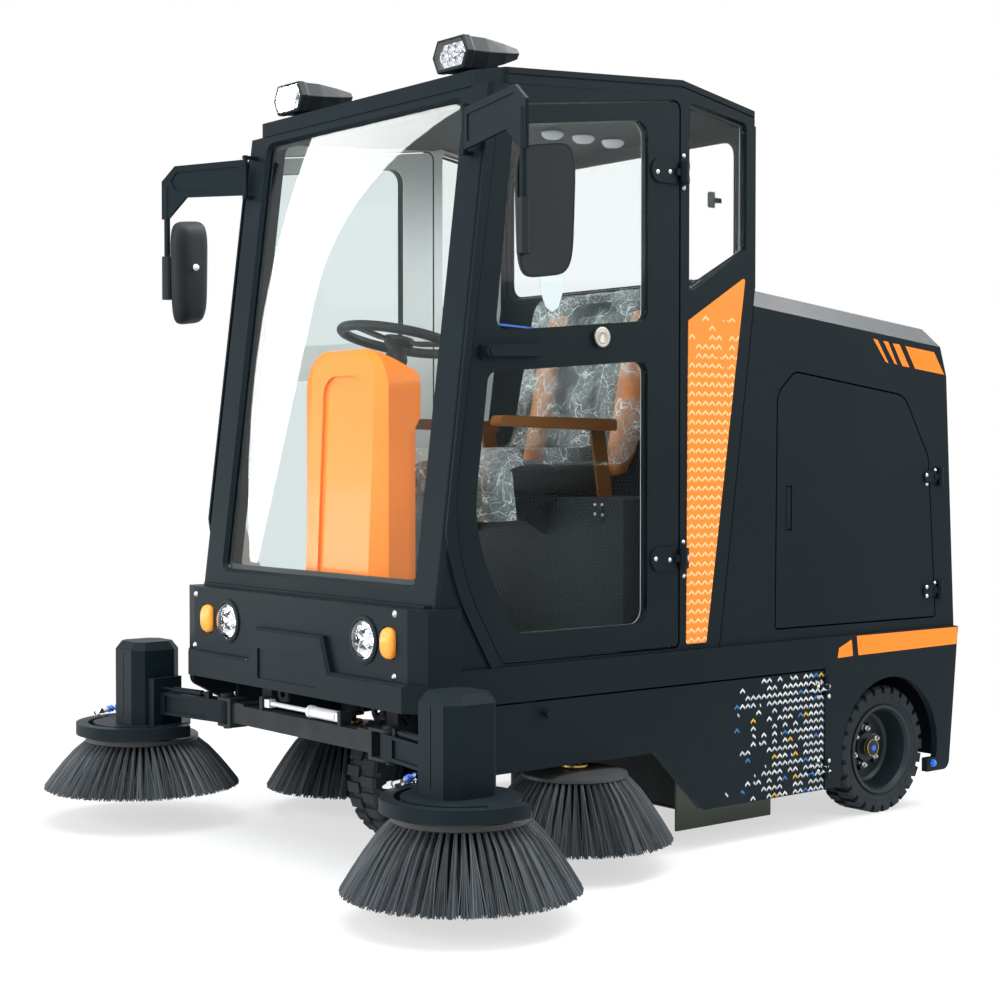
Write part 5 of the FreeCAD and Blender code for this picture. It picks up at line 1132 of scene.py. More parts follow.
# %% Headlamps
HEADLAMP_X, HEADLAMP_Y, HEADLAMP_Z = 334.0, -228.0, 621.0
headlamp_cells = [(-17.0, 31.0), (17.0, 31.0), (-32.0, 0.0), (0.0, 0.0), (32.0, 0.0),
                  (-17.0, -31.0), (17.0, -31.0)]
lens_line = [(0.0, 0.026), (0.020, 0.0245), (0.036, 0.020), (0.047, 0.012), (0.0505, 0.004),
             (0.0490, 0.004), (0.0455, 0.0115), (0.0350, 0.0185), (0.0195, 0.0228), (0.0, 0.0243)]
ring_line = [(0.0500, 0.0), (0.0505, 0.008), (0.0530, 0.0105), (0.0575, 0.009), (0.0600, 0.003),
             (0.0600, -0.02), (0.0500, -0.02)]
back_plate_line = [(0.0, 0.0), (0.056, 0.0), (0.056, -0.004), (0.0, -0.004)]
for side, sign in (("left", 1), ("right", -1)):
    x = sign * HEADLAMP_X
    middle = (x, HEADLAMP_Y + 2.0, HEADLAMP_Z)
    face = at(x, HEADLAMP_Y, HEADLAMP_Z)
    lens = turned(lens_line, face, (0, -1, 0), 48)
    sheet = bowls(middle, 49.0, 49.0, headlamp_cells, 19.0, 15.0)
    ring = turned(ring_line, face, (0, -1, 0), 48, closed_ends=False)
    back = turned(back_plate_line, at(x, HEADLAMP_Y + 20.0, HEADLAMP_Z), (0, -1, 0), 32)
    pieces = [
        put_mesh("headlamp_lens_" + side, lens, "chassis", lamp_glass, smooth=True),
        put_mesh("headlamp_bowls_" + side, sheet, "chassis", chrome, outward=False),
        put_mesh("headlamp_chips_" + side, chips(middle, headlamp_cells, 15.0), "chassis", chip),
        put_mesh("headlamp_ring_" + side, ring, "chassis", black_plastic, smooth=True),
        put_mesh("headlamp_back_" + side, back, "chassis", black_plastic)]
    for piece in pieces:
        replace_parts(piece, "lamp_lenses")
    print("headlamp", side, "in", len(pieces), "pieces")

# %% [markdown]
# The roof lamps are flat hexagonal cups with a long tapered tail, each on an arched saddle. A clear
# cover closes the front, with two rows of reflector bowls behind it.

# %% Roof lamps
ROOF_LAMP_X, ROOF_LAMP_Z = 386.0, 2118.0
roof_cells = [(-38.0, 0.0), (-13.0, 15.0), (-13.0, -15.0), (15.0, 15.0), (15.0, -15.0), (41.0, 0.0)]
# The cup's sections: place along y, lift, half width and half height, all in millimetres.
cup_sections = [(44.0, 2, 56, 28), (4.0, 0, 68, 37), (2.0, 0, 72, 40), (6.0, 0, 76, 43), (26.0, 1, 76, 43),
                (30.0, 1, 73.5, 41), (80.0, 4, 71, 39.5), (150.0, 13, 56, 27), (208.0, 23, 34, 14),
                (213.0, 24, 28, 10)]


def hexagon(x, y, z, half_width, half_height, pointed=0.72):
    """Corners of a flat hexagon in the XZ plane, with points to its left and right."""
    sx = np.array([-1.0, -pointed, pointed, 1.0, pointed, -pointed]) * half_width
    sz = np.array([0.0, 1.0, 1.0, 0.0, -1.0, -1.0]) * half_height
    return at(x + sx, y, z + sz)


for side, sign in (("left", 1), ("right", -1)):
    x = sign * ROOF_LAMP_X
    z = ROOF_LAMP_Z
    cup = loft([hexagon(x, y, z + lift, wide, high) for y, lift, wide, high in cup_sections])
    housing = put_mesh("roof_lamp_" + side, cup, "chassis", black_plastic)
    soften(housing, 0.003, 3, 18.0)
    arc = np.linspace(0.0, np.pi, 17)
    outer = np.stack([106.0 - 66.0 * np.cos(arc), 2062.0 + 46.0 * np.sin(arc)], axis=-1)
    inner = np.stack([106.0 - 46.0 * np.cos(arc), 2058.0 + 33.0 * np.sin(arc)], axis=-1)
    band = np.concatenate([outer, inner[::-1]])
    arch = loft([at(x - 26, band[:, 0], band[:, 1]), at(x + 26, band[:, 0], band[:, 1])])
    saddle = put_mesh("roof_lamp_saddle_" + side, arch, "chassis", black_plastic)
    for piece in (housing, saddle):
        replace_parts(piece, "roof_lamps")
    plate = loft([hexagon(x, 3.0, z, 67, 36), hexagon(x, 6.0, z, 68, 37)])
    sheet = bowls((x, 16.0, z), 57.0, 29.5, roof_cells, 16.0, 20.0)
    domes = chips((x, 16.0, z), roof_cells, 20.0, 4.0)
    pieces = [
        put_mesh("roof_lamp_cover_" + side, plate, "chassis", lamp_glass),
        put_mesh("roof_lamp_bowls_" + side, sheet, "chassis", chrome, outward=False),
        put_mesh("roof_lamp_chips_" + side, domes, "chassis", chip)]
    for piece in pieces:
        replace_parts(piece, "lamp_lenses")
    print("roof lamp", side, "with", len(roof_cells), "bowls")

# %% [markdown]
# Orange marks brighten the dark sides: three slashes and a block high on the housing, and a long
# band on the sill. Each mark is a thin film that is laid on the solid by casting rays at it from the
# side, so that it follows bevels and corners.

# %% Marks laid on the sides
from mathutils.bvhtree import BVHTree

SIDE_X = 0.571


def solid_tree(name):
    """A search tree of one solid's faces, for casting rays at it."""
    return BVHTree.FromObject(nodes[name], bpy.context.evaluated_depsgraph_get())


def laid_film(corners, sign, targets, lift=0.0008, columns=24, rows=8):
    """A sheet between four (y, z) corners, laid on the outermost surface of the targets.

    Point (u, v) of the sheet is (1-u)(1-v) A + u (1-v) B + u v C + (1-u) v D. Its x comes from a ray
    that runs inwards from x = 1 m, and where that misses, from the point before. On the right side
    the faces' order is turned round, so that they look outwards there too.
    """
    u, v = np.meshgrid(np.linspace(0, 1, columns), np.linspace(0, 1, rows), indexing="ij")
    a, b, c, d = np.asarray(corners, float)
    yz = (((1 - u) * (1 - v))[..., None] * a + (u * (1 - v))[..., None] * b
          + (u * v)[..., None] * c + ((1 - u) * v)[..., None] * d)
    start = at(sign * 1000.0, yz[..., 0], yz[..., 1]).reshape(-1, 3)
    trees = [solid_tree(name) for name in targets]
    inwards = Vector((-sign, 0.0, 0.0))
    points = start.copy()
    last = SIDE_X
    for row, origin in enumerate(start):
        hits = [tree.ray_cast(Vector(origin), inwards)[0] for tree in trees]
        reach = [hit.x * sign for hit in hits if hit is not None]
        last = max(reach) if reach else last
        points[row, 0] = sign * (last + lift)
    return points, [grid_faces(columns, rows)[:, ::sign]]


housing_marks = [((1454, 1435), (1474, 1432), (1525, 1364), (1512, 1368)),
                 ((1500, 1430), (1523, 1428), (1566, 1360), (1553, 1364)),
                 ((1545, 1424), (1576, 1422), (1624, 1354), (1591, 1357)),
                 ((1604, 1418), (1742, 1404), (1792, 1336), (1651, 1351))]
sill_marks = [((1372, 550), (1850, 549), (1850, 496), (1380, 492)),
              ((1293, 519), (1349, 541), (1355, 492), (1287, 490))]
for side, sign in (("left", 1), ("right", -1)):
    high = merged([laid_film(c, sign, ["rear_housing"]) for c in housing_marks])
    put_mesh("housing_marks_" + side, high, "chassis", orange_gloss, outward=False)
    low = merged([laid_film(c, sign, ["lower_body_" + side], columns=30, rows=4) for c in sill_marks])
    put_mesh("sill_marks_" + side, low, "chassis", orange_gloss, outward=False)
    print("marks", side, "reach x", np.round(np.abs(high[0][:, 0]).max(), 4))

# %% [markdown]
# The orange quarter panel and the skirt door carry a fine print that breaks up towards one edge. Here
# it is a plain lattice of chevrons. One node group works out the lattice: the chevrons' mask, and a
# random number for each cell, which decides where the print breaks up and which colour it takes.

# %% Chevron print
CHEVRON_SLANT = 0.9
CHEVRON_HALF = 0.43


def make_print_group():
    """Chevrons in cells of Pitch metres, on the (y, z) plane of Object coordinates.

    In a cell, with p the place across it from 0 to 1 and q the place up it, the mask is 1 where
    |fract(q + CHEVRON_SLANT * |p - 0.5|) - 0.5| < Width and |p - 0.5| < CHEVRON_HALF.
    """
    group, first, last = new_group(
        "chevron_print", [("Pitch", "Float", 0.024), ("Width", "Float", 0.16)],
        [("Mask", "Float"), ("Random", "Float"), ("Y", "Float"), ("Z", "Float")])
    place = group.nodes.new("ShaderNodeTexCoord")
    split = group.nodes.new("ShaderNodeSeparateXYZ")
    link(group, place.outputs["Object"], split.inputs[0])
    across = math_node(group, "DIVIDE", split.outputs["Y"], first.outputs["Pitch"])
    up = math_node(group, "DIVIDE", split.outputs["Z"], first.outputs["Pitch"])
    place_in_cell = math_node(group, "FRACT", across)
    off = math_node(group, "ABSOLUTE", math_node(group, "SUBTRACT", place_in_cell, 0.5))
    slanted = math_node(group, "MULTIPLY_ADD", off, CHEVRON_SLANT, up)
    wave = math_node(group, "FRACT", slanted)
    line = math_node(group, "ABSOLUTE", math_node(group, "SUBTRACT", wave, 0.5))
    chevron = math_node(group, "LESS_THAN", line, first.outputs["Width"])
    gap = math_node(group, "LESS_THAN", off, CHEVRON_HALF)
    link(group, math_node(group, "MULTIPLY", chevron, gap), last.inputs["Mask"])
    cell = group.nodes.new("ShaderNodeCombineXYZ")
    link(group, math_node(group, "FLOOR", across), cell.inputs["X"])
    link(group, math_node(group, "FLOOR", slanted), cell.inputs["Y"])
    dice = group.nodes.new("ShaderNodeTexWhiteNoise")
    dice.noise_dimensions = "3D"
    link(group, cell.outputs[0], dice.inputs["Vector"])
    link(group, dice.outputs["Value"], last.inputs["Random"])
    link(group, split.outputs["Y"], last.inputs["Y"])
    link(group, split.outputs["Z"], last.inputs["Z"])
    return group


print_group = make_print_group()
print("groups:", [g.name for g in bpy.data.node_groups])

# %% [markdown]
# The print is a second colour over a finish. It thins out where the cell's random number is above a
# limit that falls along one axis. On the skirt most chevrons are grey or white, and a few are blue
# or amber. On the quarter panel they are a paler orange.

# %% Prints on the quarter panel and the skirt


def printed(material, pitch, width, fade, colours):
    """Lay the print over a finish. fade is (axis, start, end): the print grows from start to end.

    With several inks, a second random number picks one: 45 % the first, 39 % the second, and 9 %
    or less each of the others.
    """
    tree = material.node_tree
    shader = tree.nodes["Principled BSDF"]
    before = shader.inputs["Base Color"].links[0].from_socket
    lattice = add_group(tree, print_group, Pitch=pitch, Width=width)
    axis, start, end = fade
    limit = ranged(tree, lattice.outputs[axis], start, end, 0.0, 1.0)
    shown = math_node(tree, "LESS_THAN", lattice.outputs["Random"], limit)
    mask = math_node(tree, "MULTIPLY", shown, lattice.outputs["Mask"])
    if len(colours) == 1:
        ink = colours[0]
    else:
        ramp = tree.nodes.new("ShaderNodeValToRGB")
        ramp.color_ramp.interpolation = "CONSTANT"
        ramp.color_ramp.elements[0].color = (*colours[0], 1.0)
        ramp.color_ramp.elements[1].color = (*colours[1], 1.0)
        ramp.color_ramp.elements[1].position = 0.45
        for number, colour in enumerate(colours[2:]):
            extra = ramp.color_ramp.elements.new(0.84 + 0.09 * number)
            extra.color = (*colour, 1.0)
        stir = math_node(tree, "MULTIPLY", lattice.outputs["Random"], 37.7)
        link(tree, math_node(tree, "FRACT", stir), ramp.inputs["Fac"])
        ink = ramp.outputs["Color"]
    link(tree, mix_colour(tree, mask, before, ink), shader.inputs["Base Color"])
    return material


quarter_orange = grained("quarter_orange", (0.72, 0.20, 0.016), (0.80, 0.25, 0.026), 0.34, 0.1, 300.0,
                         0.0002, specular=0.25)
quarter_finish = printed(quarter_orange, 0.026, 0.13, ("Z", 1.48, 1.33), [(1.0, 0.55, 0.25)])
dress("quarter_panels", quarter_finish)
skirt_inks = [(0.50, 0.53, 0.55), (0.62, 0.64, 0.65), (0.03, 0.16, 0.42), (0.60, 0.36, 0.03)]
skirt_finish = printed(grained("skirt_paint", *body_look, specular=0.09, dust=0.03), 0.022, 0.16,
                       ("Y", 0.16, 0.52), skirt_inks)
for side in ("left", "right"):
    dress("skirt_door_" + side, skirt_finish)
print("printed:", quarter_finish.name, "and", skirt_finish.name)

# %% [markdown]
# Small metal parts give the machine its scale. Bolts sit on the solids exactly where a line of sight
# meets them, turned square to the surface, and each one on the left has a twin on the right.

# %% Bolts and rivets


def seen_spot(px, py, names):
    """The point and the normal where the camera's line through a place in the frame meets solids."""
    turn = camera.rotation_euler.to_matrix()
    focal = FRAME_PIXELS * camera_data.lens / camera_data.sensor_width
    half = FRAME_PIXELS / 2
    way = (turn @ Vector(((px - half) / focal, (half - py) / focal, -1.0))).normalized()
    best = None
    for name in names:
        hit = solid_tree(name).ray_cast(camera.location, way)
        if hit[0] is not None and (best is None or hit[3] < best[2]):
            best = (np.array(hit[0]), np.array(hit[1]), hit[3])
    return best[:2] if best else None


def bolt(point, normal, radius):
    """A dome-headed bolt on a washer, about the surface normal. Radius in metres."""
    profile = [(0.0, 0.62), (0.35, 0.58), (0.62, 0.42), (0.74, 0.2), (0.76, 0.14), (1.0, 0.12),
               (1.0, -0.3)]
    return turned(np.array(profile) * radius, point, normal, 14)


def twin(shape):
    """The mirror image of a shape on the other side of the machine."""
    points, faces = shape
    return np.asarray(points) * (-1.0, 1.0, 1.0), [np.asarray(f)[:, ::-1] for f in faces]


# Each row: the piece's name, the body that it rides on, the solids that carry it, the head's radius
# in metres, and the places in the frame.
RIVET, SMALL_RIVET, BUMPER_BOLT = 0.0062, 0.005, 0.009
bolt_rows = [
    ("door_bolts", "cab_door", ["cab_door_left"], RIVET,
     [(656, 559), (670, 560), (658, 171.7), (670.4, 171.7)]),
    ("hinge_post_bolts", "chassis", ["cab_side_left", "quarter_panels"], RIVET,
     [(683.5, 542), (687.5, 559), (684, 576), (684, 156), (687, 172), (684, 188)]),
    ("housing_door_bolts", "housing_door", ["housing_door_left"], RIVET,
     [(927, 475), (927, 484), (927, 587), (927, 596)]),
    ("housing_bolts", "chassis", ["rear_housing"], RIVET,
     [(935.5, 470.5), (935.5, 479.5), (935, 583), (935, 592)]),
    ("skirt_door_bolts", "skirt_door", ["skirt_door_left"], RIVET,
     [(818.5, 686.6), (818.5, 696.6), (818.5, 761), (818.5, 771.2)]),
    ("skirt_post_bolts", "chassis", ["lower_body_left"], RIVET,
     [(829.3, 686.3), (829.3, 696.3), (829.3, 760.7), (829.3, 770.9)]),
    ("seat_box_bolts", "chassis", ["seat_box"], SMALL_RIVET,
     [(594.6, 505), (601.7, 505), (594.6, 514), (602.5, 515)]),
    ("panel_bolt", "chassis", ["cab_side_left"], SMALL_RIVET, [(724, 351)]),
]
for name, body, carriers, radius, places in bolt_rows:
    spots = [spot for spot in (seen_spot(px, py, carriers) for px, py in places) if spot]
    print(name, len(spots), "of", len(places))
    if spots:
        shape = merged([bolt(point, normal, radius) for point, normal in spots])
        for side, row in (("left", shape), ("right", twin(shape))):
            carrier = body if body == "chassis" else body + "_" + side
            put_mesh(name + "_" + side, row, carrier, bare_steel, smooth=True)
bumper_places = ((196, 594), (195, 645), (394.6, 614), (394, 677))
spots = [spot for spot in (seen_spot(px, py, ["front_bumper"]) for px, py in bumper_places) if spot]
put_mesh("bumper_bolts", merged([bolt(point, normal, BUMPER_BOLT) for point, normal in spots]),
         "chassis", bare_steel, smooth=True)

# %% [markdown]
# The rear wheels carry six steel nuts round a hub with a thin yellow ring and a blue centre. A ray
# from the side finds the face of the rim at each nut, so that the nut sits on it and not in the air.

# %% Wheel fittings
WHEEL_Y, WHEEL_Z, NUT_CIRCLE = 1530.0, 192.5, 56.0
nut_line = [(0.0, 0.015), (0.0075, 0.015), (0.0112, 0.012), (0.0114, 0.002), (0.0140, 0.0015),
            (0.0140, -0.002)]
stud_line = [(0.0, 0.021), (0.0045, 0.0205), (0.0052, 0.018), (0.0052, 0.0)]
hub_ring_line = [(0.0235, -0.012), (0.0239, 0.0014), (0.0247, 0.0024), (0.0256, 0.0018),
                 (0.0260, -0.012)]
hub_cap_line = [(0.0, 0.0065), (0.0085, 0.006), (0.0105, 0.004), (0.0105, 0.0015)]
hub_cover_line = [(0.0, 0.0025), (0.0235, 0.0020), (0.0235, 0.0004), (0.0, 0.0004)]


def inward_x(names, y, z, sign):
    """The x in metres of the outermost surface at a (y, z) in millimetres."""
    start = Vector(at(sign * 1000.0, y, z))
    hits = [solid_tree(name).ray_cast(start, Vector((-sign, 0.0, 0.0)))[0] for name in names]
    return sign * max(hit.x * sign for hit in hits if hit is not None)


yellow_paint = grained("yellow_paint", (0.42, 0.30, 0.05), (0.62, 0.45, 0.09), 0.4, 0.1, 400.0, 0.0003)
for side, sign in (("left", 1), ("right", -1)):
    wheel = "rear_wheel_" + side
    rim_node = ["rear_rim_" + side]
    nuts = []
    for k in range(6):
        a = math.radians(60.0 * k + 7.0)
        y, z = WHEEL_Y + NUT_CIRCLE * math.sin(a), WHEEL_Z + NUT_CIRCLE * math.cos(a)
        base = at(0.0, y, z) + np.array([inward_x(rim_node, y, z, sign), 0.0, 0.0])
        nuts.append(turned(nut_line, base, (sign, 0, 0), 6, phase=a))
        nuts.append(turned(stud_line, base, (sign, 0, 0), 12))
    put_mesh("wheel_nuts_" + side, merged(nuts), wheel, bare_steel)
    hub_x = max(inward_x(rim_node, WHEEL_Y, WHEEL_Z + 31.0, sign) * sign,
                inward_x(["rear_axle"], WHEEL_Y, WHEEL_Z, sign) * sign)
    hub = at(0.0, WHEEL_Y, WHEEL_Z) + np.array([sign * hub_x, 0.0, 0.0])
    print("hub face", round(hub_x, 4))
    ring = turned(hub_ring_line, hub, (sign, 0, 0), 40, closed_ends=False)
    put_mesh("hub_ring_" + side, ring, wheel, yellow_paint, smooth=True)
    cap = turned(hub_cap_line, hub, (sign, 0, 0), 6)
    cover = turned(hub_cover_line, hub, (sign, 0, 0), 32)
    put_mesh("hub_cap_" + side, cap, wheel, blue_plastic)
    put_mesh("hub_cover_" + side, cover, wheel, rim_paint)

# %% [markdown]
# Water for the side brushes comes through thin stiff pipes with blue push-in collars and small
# chrome nozzles on the guard rings. Each pipe is a tube along a smooth curve through a few points,
# and it swings with its arm.

# %% Pipes and nozzles
NOZZLE_SCALE = 1.5
collar_places = (9, 18, 26, 52)
clear_hose = grained("clear_hose", (0.30, 0.33, 0.35), (0.50, 0.54, 0.56), 0.3, 0.1, 300.0, 0.0002)


def collar(point, way, radius=0.0105, length=0.018):
    """A push-in collar: a short ribbed sleeve about a pipe."""
    profile = [(0.62, -0.5), (1.0, -0.42), (1.0, -0.2), (0.86, -0.12), (0.86, 0.12), (1.0, 0.2),
               (1.0, 0.42), (0.62, 0.5)]
    return turned(np.array(profile) * (radius, length), point, way, 16)


def nozzle(point, way):
    """A chrome nozzle: a hexagon, a neck and a cone that points along the way."""
    profile = np.array([(0.0, 0.026), (0.002, 0.026), (0.0045, 0.018), (0.0045, 0.014),
                        (0.0078, 0.013), (0.0078, 0.003), (0.0055, 0.002), (0.0055, -0.014),
                        (0.0, -0.014)])
    return turned(profile * NOZZLE_SCALE, point, way, 6)


left_route = [(588, -300, 300), (577, -262, 306), (580, -226, 309), (606, -196, 307),
              (618, -152, 302), (652, -118, 300)]
right_route = [(-986, -290, 300), (-990, -254, 307), (-968, -226, 309), (-930, -176, 305),
               (-884, -160, 306), (-838, -176, 302)]
left_jets = [(566, -246, 304), (596, -322, 301)]
right_jets = [(-978, -240, 304), (-975, -312, 301)]
for side, sign, route, jets in (("left", 1, left_route, left_jets),
                                ("right", -1, right_route, right_jets)):
    middle_x = sign * 780.0
    arm = "front_arm_" + side
    x, y, z = np.array(route, float).T
    line = smooth_path(at(x, y, z), 60)
    put_mesh("spray_pipe_" + side, tube(line, 0.0062, 12), arm, clear_hose, smooth=True)
    collars = merged([collar(line[k], line[k + 1] - line[k - 1]) for k in collar_places])
    put_mesh("spray_collars_" + side, collars, arm, blue_plastic, smooth=True)
    heads = []
    for x, y, z in jets:
        away = np.array([x - middle_x, y + 265.0, -60.0])
        heads.append(nozzle(at(x, y, z), away / np.linalg.norm(away)))
        heads.append(turned([(0.0, 0.004), (0.0065, 0.004), (0.0065, -0.012)], at(x, y, z), (0, 0, 1), 12))
    put_mesh("spray_nozzles_" + side, merged(heads), arm, chrome)
    print("spray pipe", side, round(float(np.linalg.norm(np.diff(line, axis=0), axis=1).sum()), 3), "m")

# %% [markdown]
# Each door has a dull steel lock ring, each inner brush motor a brass nut, and each rear corner a
# blue bolt near the floor. A blank tag and a short blue strip lie on the left door's glass.

# %% Locks, nuts and tags
LOCK_Y, LOCK_Z = 357.0, 1397.0
FOOT_Y, FOOT_Z = 1735.0, 133.0
DOOR_GLASS_X = 553.0
lock_line = [(0.0, 0.0015), (0.012, 0.0015), (0.0135, 0.0030), (0.0165, 0.0032), (0.0180, 0.0012),
             (0.0205, 0.0012), (0.0255, 0.0030), (0.0268, 0.0012), (0.0268, -0.006)]
brass_line = [(0.026, 0.0), (0.034, 0.001), (0.036, 0.004), (0.036, 0.009), (0.030, 0.011),
              (0.026, 0.011)]
foot_line = [(0.0, 0.010), (0.006, 0.010), (0.0095, 0.007), (0.010, 0.001), (0.013, 0.0005),
             (0.013, -0.002)]
lock_steel = grained("lock_steel", (0.30, 0.29, 0.26), (0.52, 0.50, 0.45), 0.35, 0.15, 300.0, 0.0002,
                     metallic=1.0)


def on_side(names, y, z, sign):
    """The point in metres where a line across the machine at (y, z) first meets solids."""
    return at(0, y, z) + np.array([inward_x(names, y, z, sign), 0, 0])


for side, sign in (("left", 1), ("right", -1)):
    lock = turned(lock_line, on_side(["cab_door_" + side], LOCK_Y, LOCK_Z, sign), (sign, 0, 0), 36)
    put_mesh("lock_ring_" + side, lock, "cab_door_" + side, lock_steel, smooth=True)
    brass_ring = turned(brass_line, at(sign * 520.0, 315.0, 263.5), (0, 0, 1), 24, closed_ends=False)
    put_mesh("motor_nut_" + side, brass_ring, "chassis", brass)
    stud = turned(foot_line, on_side(["lower_body_" + side], FOOT_Y, FOOT_Z, sign), (sign, 0, 0), 6)
    put_mesh("foot_bolt_" + side, stud, "chassis", blue_plastic)

tag_y, tag_z = np.array([(160, 1566), (172, 1572), (234, 1572), (246, 1564), (240, 1506), (226, 1470),
                         (205, 1457), (184, 1470), (168, 1506)], float).T
strip_y, strip_z = [30, 150, 150, 30], [1415, 1410, 1414, 1420]
put_mesh("door_tag", slab(at(DOOR_GLASS_X, tag_y, tag_z), 0.002, (1, 0, 0)), "cab_door_left",
         white_plastic)
put_mesh("door_strip", slab(at(DOOR_GLASS_X, strip_y, strip_z), 0.004, (1, 0, 0)), "cab_door_left",
         blue_plastic)
dress("lift_cylinder", white_plastic)
print("lock, nut and bolt on both sides, tag and strip on the left door")

# %% [markdown]
# A mirror head is a soft shell: a rounded rectangle that narrows towards its foot, domed at the back,
# with a thin lip round the glass. It is a loft of superellipse rings along the head's own normal.

# %% Mirrors
MIRROR_ACROSS = np.array([0.342, 0.940])
MIRROR_OUT = np.array([0.940, -0.342])
MIRROR_POST = np.array([850.3, -134.5])
MIRROR_HALF_WIDTH, MIRROR_HALF_HEIGHT = 78.0, 157.0
# The head's sections: size, and place along its normal in millimetres.
mirror_sections = ((0.42, -30.0), (0.62, -28.0), (0.80, -23.0), (0.93, -13.0), (0.985, -4.0), (1.0, 5.0),
                   (0.985, 10.0), (0.95, 11.0), (0.93, 8.0))
pivot_line = [(0.0, 0.012), (0.007, 0.011), (0.010, 0.006), (0.0105, 0.0), (0.019, -0.001),
              (0.021, -0.006)]
mirror_gloss = grained("mirror_gloss", (0.006, 0.009, 0.011), (0.010, 0.014, 0.017), 0.10, 0.05, 200.0,
                       0.0001, specular=0.45)


def beside_post(across, out):
    """The (x, y) that lies some way across the head and some way out from its post."""
    return MIRROR_POST + MIRROR_ACROSS * across + MIRROR_OUT * out


def mirror_ring(middle, size, out, power=5.0, count=56):
    """One ring of the head: |u / a| ** p + |v / b| ** p = 1, narrowed by 12 % towards its foot."""
    angle = np.linspace(0.0, 2 * np.pi, count, endpoint=False)
    u = np.sign(np.cos(angle)) * np.abs(np.cos(angle)) ** (2.0 / power)
    v = np.sign(np.sin(angle)) * np.abs(np.sin(angle)) ** (2.0 / power)
    v = v * MIRROR_HALF_HEIGHT * (1.0 - (1.0 - size) * 0.5)
    u = u * MIRROR_HALF_WIDTH * size * (0.94 + 0.06 * v / MIRROR_HALF_HEIGHT)
    x = middle[0] + MIRROR_ACROSS[0] * u + MIRROR_OUT[0] * out
    y = middle[1] + MIRROR_ACROSS[1] * u + MIRROR_OUT[1] * out
    return at(x, y, middle[2] + v + 0.12 * u)


for side, sign in (("left", 1), ("right", -1)):
    middle = (*beside_post(64.0, -31.0), 1668.0 if sign > 0 else 1646.0)
    shell = loft([mirror_ring(middle, size, out) for size, out in mirror_sections])
    field = loft([mirror_ring(middle, 0.94, 7.0), mirror_ring(middle, 0.93, 9.0)])
    pivot = turned(pivot_line, at(*beside_post(58.0, -60.0), 1660.0), (*-MIRROR_OUT, 0.0), 20)
    clamp = tube(at(MIRROR_POST[0], MIRROR_POST[1], [1560.0, 1690.0]), 0.0165, 14)
    if sign < 0:
        shell, field, pivot, clamp = twin(shell), twin(field), twin(pivot), twin(clamp)
    pieces = [put_mesh("mirror_shell_" + side, shell, "chassis", black_plastic, smooth=True),
              put_mesh("mirror_glass_" + side, field, "chassis", mirror_gloss),
              put_mesh("mirror_pivot_" + side, pivot, "chassis", white_plastic, smooth=True),
              put_mesh("mirror_clamp_" + side, clamp, "chassis", black_plastic)]
    for piece in pieces:
        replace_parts(piece, "mirrors")
    print("mirror", side, "centre", np.round(at(*middle), 3))

# %% [markdown]
# A small latch sits on the quarter pane: a block inside the glass with a short lever.

# %% Latch
latch_body = [loft([at(553.0, [776, 800, 800, 776], [1772, 1772, 1816, 1816]),
                    at(545.0, [779, 797, 797, 779], [1776, 1776, 1812, 1812])]),
              loft([at(557.0, [796, 822, 822, 796], [1786, 1786, 1800, 1800]),
                    at(549.0, [796, 820, 820, 796], [1788, 1788, 1798, 1798])])]
latch = merged(latch_body)
put_mesh("quarter_latch_left", latch, "chassis", black_plastic)
put_mesh("quarter_latch_right", twin(latch), "chassis", black_plastic)
print("latch:", len(latch[0]), "points a side")

# %% [markdown]
# A studio: a pale floor that runs to the horizon, and a world that is white to the eye and to
# whatever glass and metal show, while it lights the machine at a plain level. The floor is white to
# the eye too, apart from the soft shadow close to the machine.

# %% Floor
FLOOR_HALF = 30.0


def seen_rays(tree):
    """1 for a ray from the camera, a reflection or a refraction, else 0."""
    path = tree.nodes.new("ShaderNodeLightPath")
    both = math_node(tree, "MAXIMUM", path.outputs["Is Camera Ray"], path.outputs["Is Glossy Ray"])
    return math_node(tree, "MAXIMUM", both, path.outputs["Is Transmission Ray"])


def make_floor():
    """A large pale square. Far from the machine it is white to the eye, near it takes shadows."""
    points = [(-FLOOR_HALF, -FLOOR_HALF, 0.0), (FLOOR_HALF, -FLOOR_HALF, 0.0),
              (FLOOR_HALF, FLOOR_HALF, 0.0), (-FLOOR_HALF, FLOOR_HALF, 0.0)]
    mesh = bpy.data.meshes.new("studio_floor")
    mesh.from_pydata(points, [], [(0, 1, 2, 3)])
    floor = bpy.data.objects.new("studio_floor", mesh)
    bpy.context.scene.collection.objects.link(floor)
    material = bpy.data.materials.new("studio_floor")
    material.use_nodes = True
    tree = material.node_tree
    shader = tree.nodes["Principled BSDF"]
    shader.inputs["Base Color"].default_value = (0.85, 0.86, 0.87, 1.0)
    shader.inputs["Roughness"].default_value = 0.8
    shader.inputs["Specular IOR Level"].default_value = 0.1
    glow = tree.nodes.new("ShaderNodeEmission")
    place = tree.nodes.new("ShaderNodeTexCoord")
    away = tree.nodes.new("ShaderNodeVectorMath")
    away.operation = "LENGTH"
    link(tree, place.outputs["Object"], away.inputs[0])
    far = ranged(tree, away.outputs["Value"], 0.9, 3.0, 0.62, 1.0, smooth=True)
    share = math_node(tree, "MULTIPLY", far, seen_rays(tree))
    mix = tree.nodes.new("ShaderNodeMixShader")
    link(tree, share, mix.inputs["Fac"])
    link(tree, shader.outputs["BSDF"], mix.inputs[1])
    link(tree, glow.outputs["Emission"], mix.inputs[2])
    link(tree, mix.outputs["Shader"], tree.nodes["Material Output"].inputs["Surface"])
    mesh.materials.append(material)


make_floor()
print("floor:", 2 * FLOOR_HALF, "m square")

# %% [markdown]
# The world has two strengths. Rays from the camera, and rays that metal and glass send out, meet
# plain white. All other rays meet a slightly blue light of about half that strength.

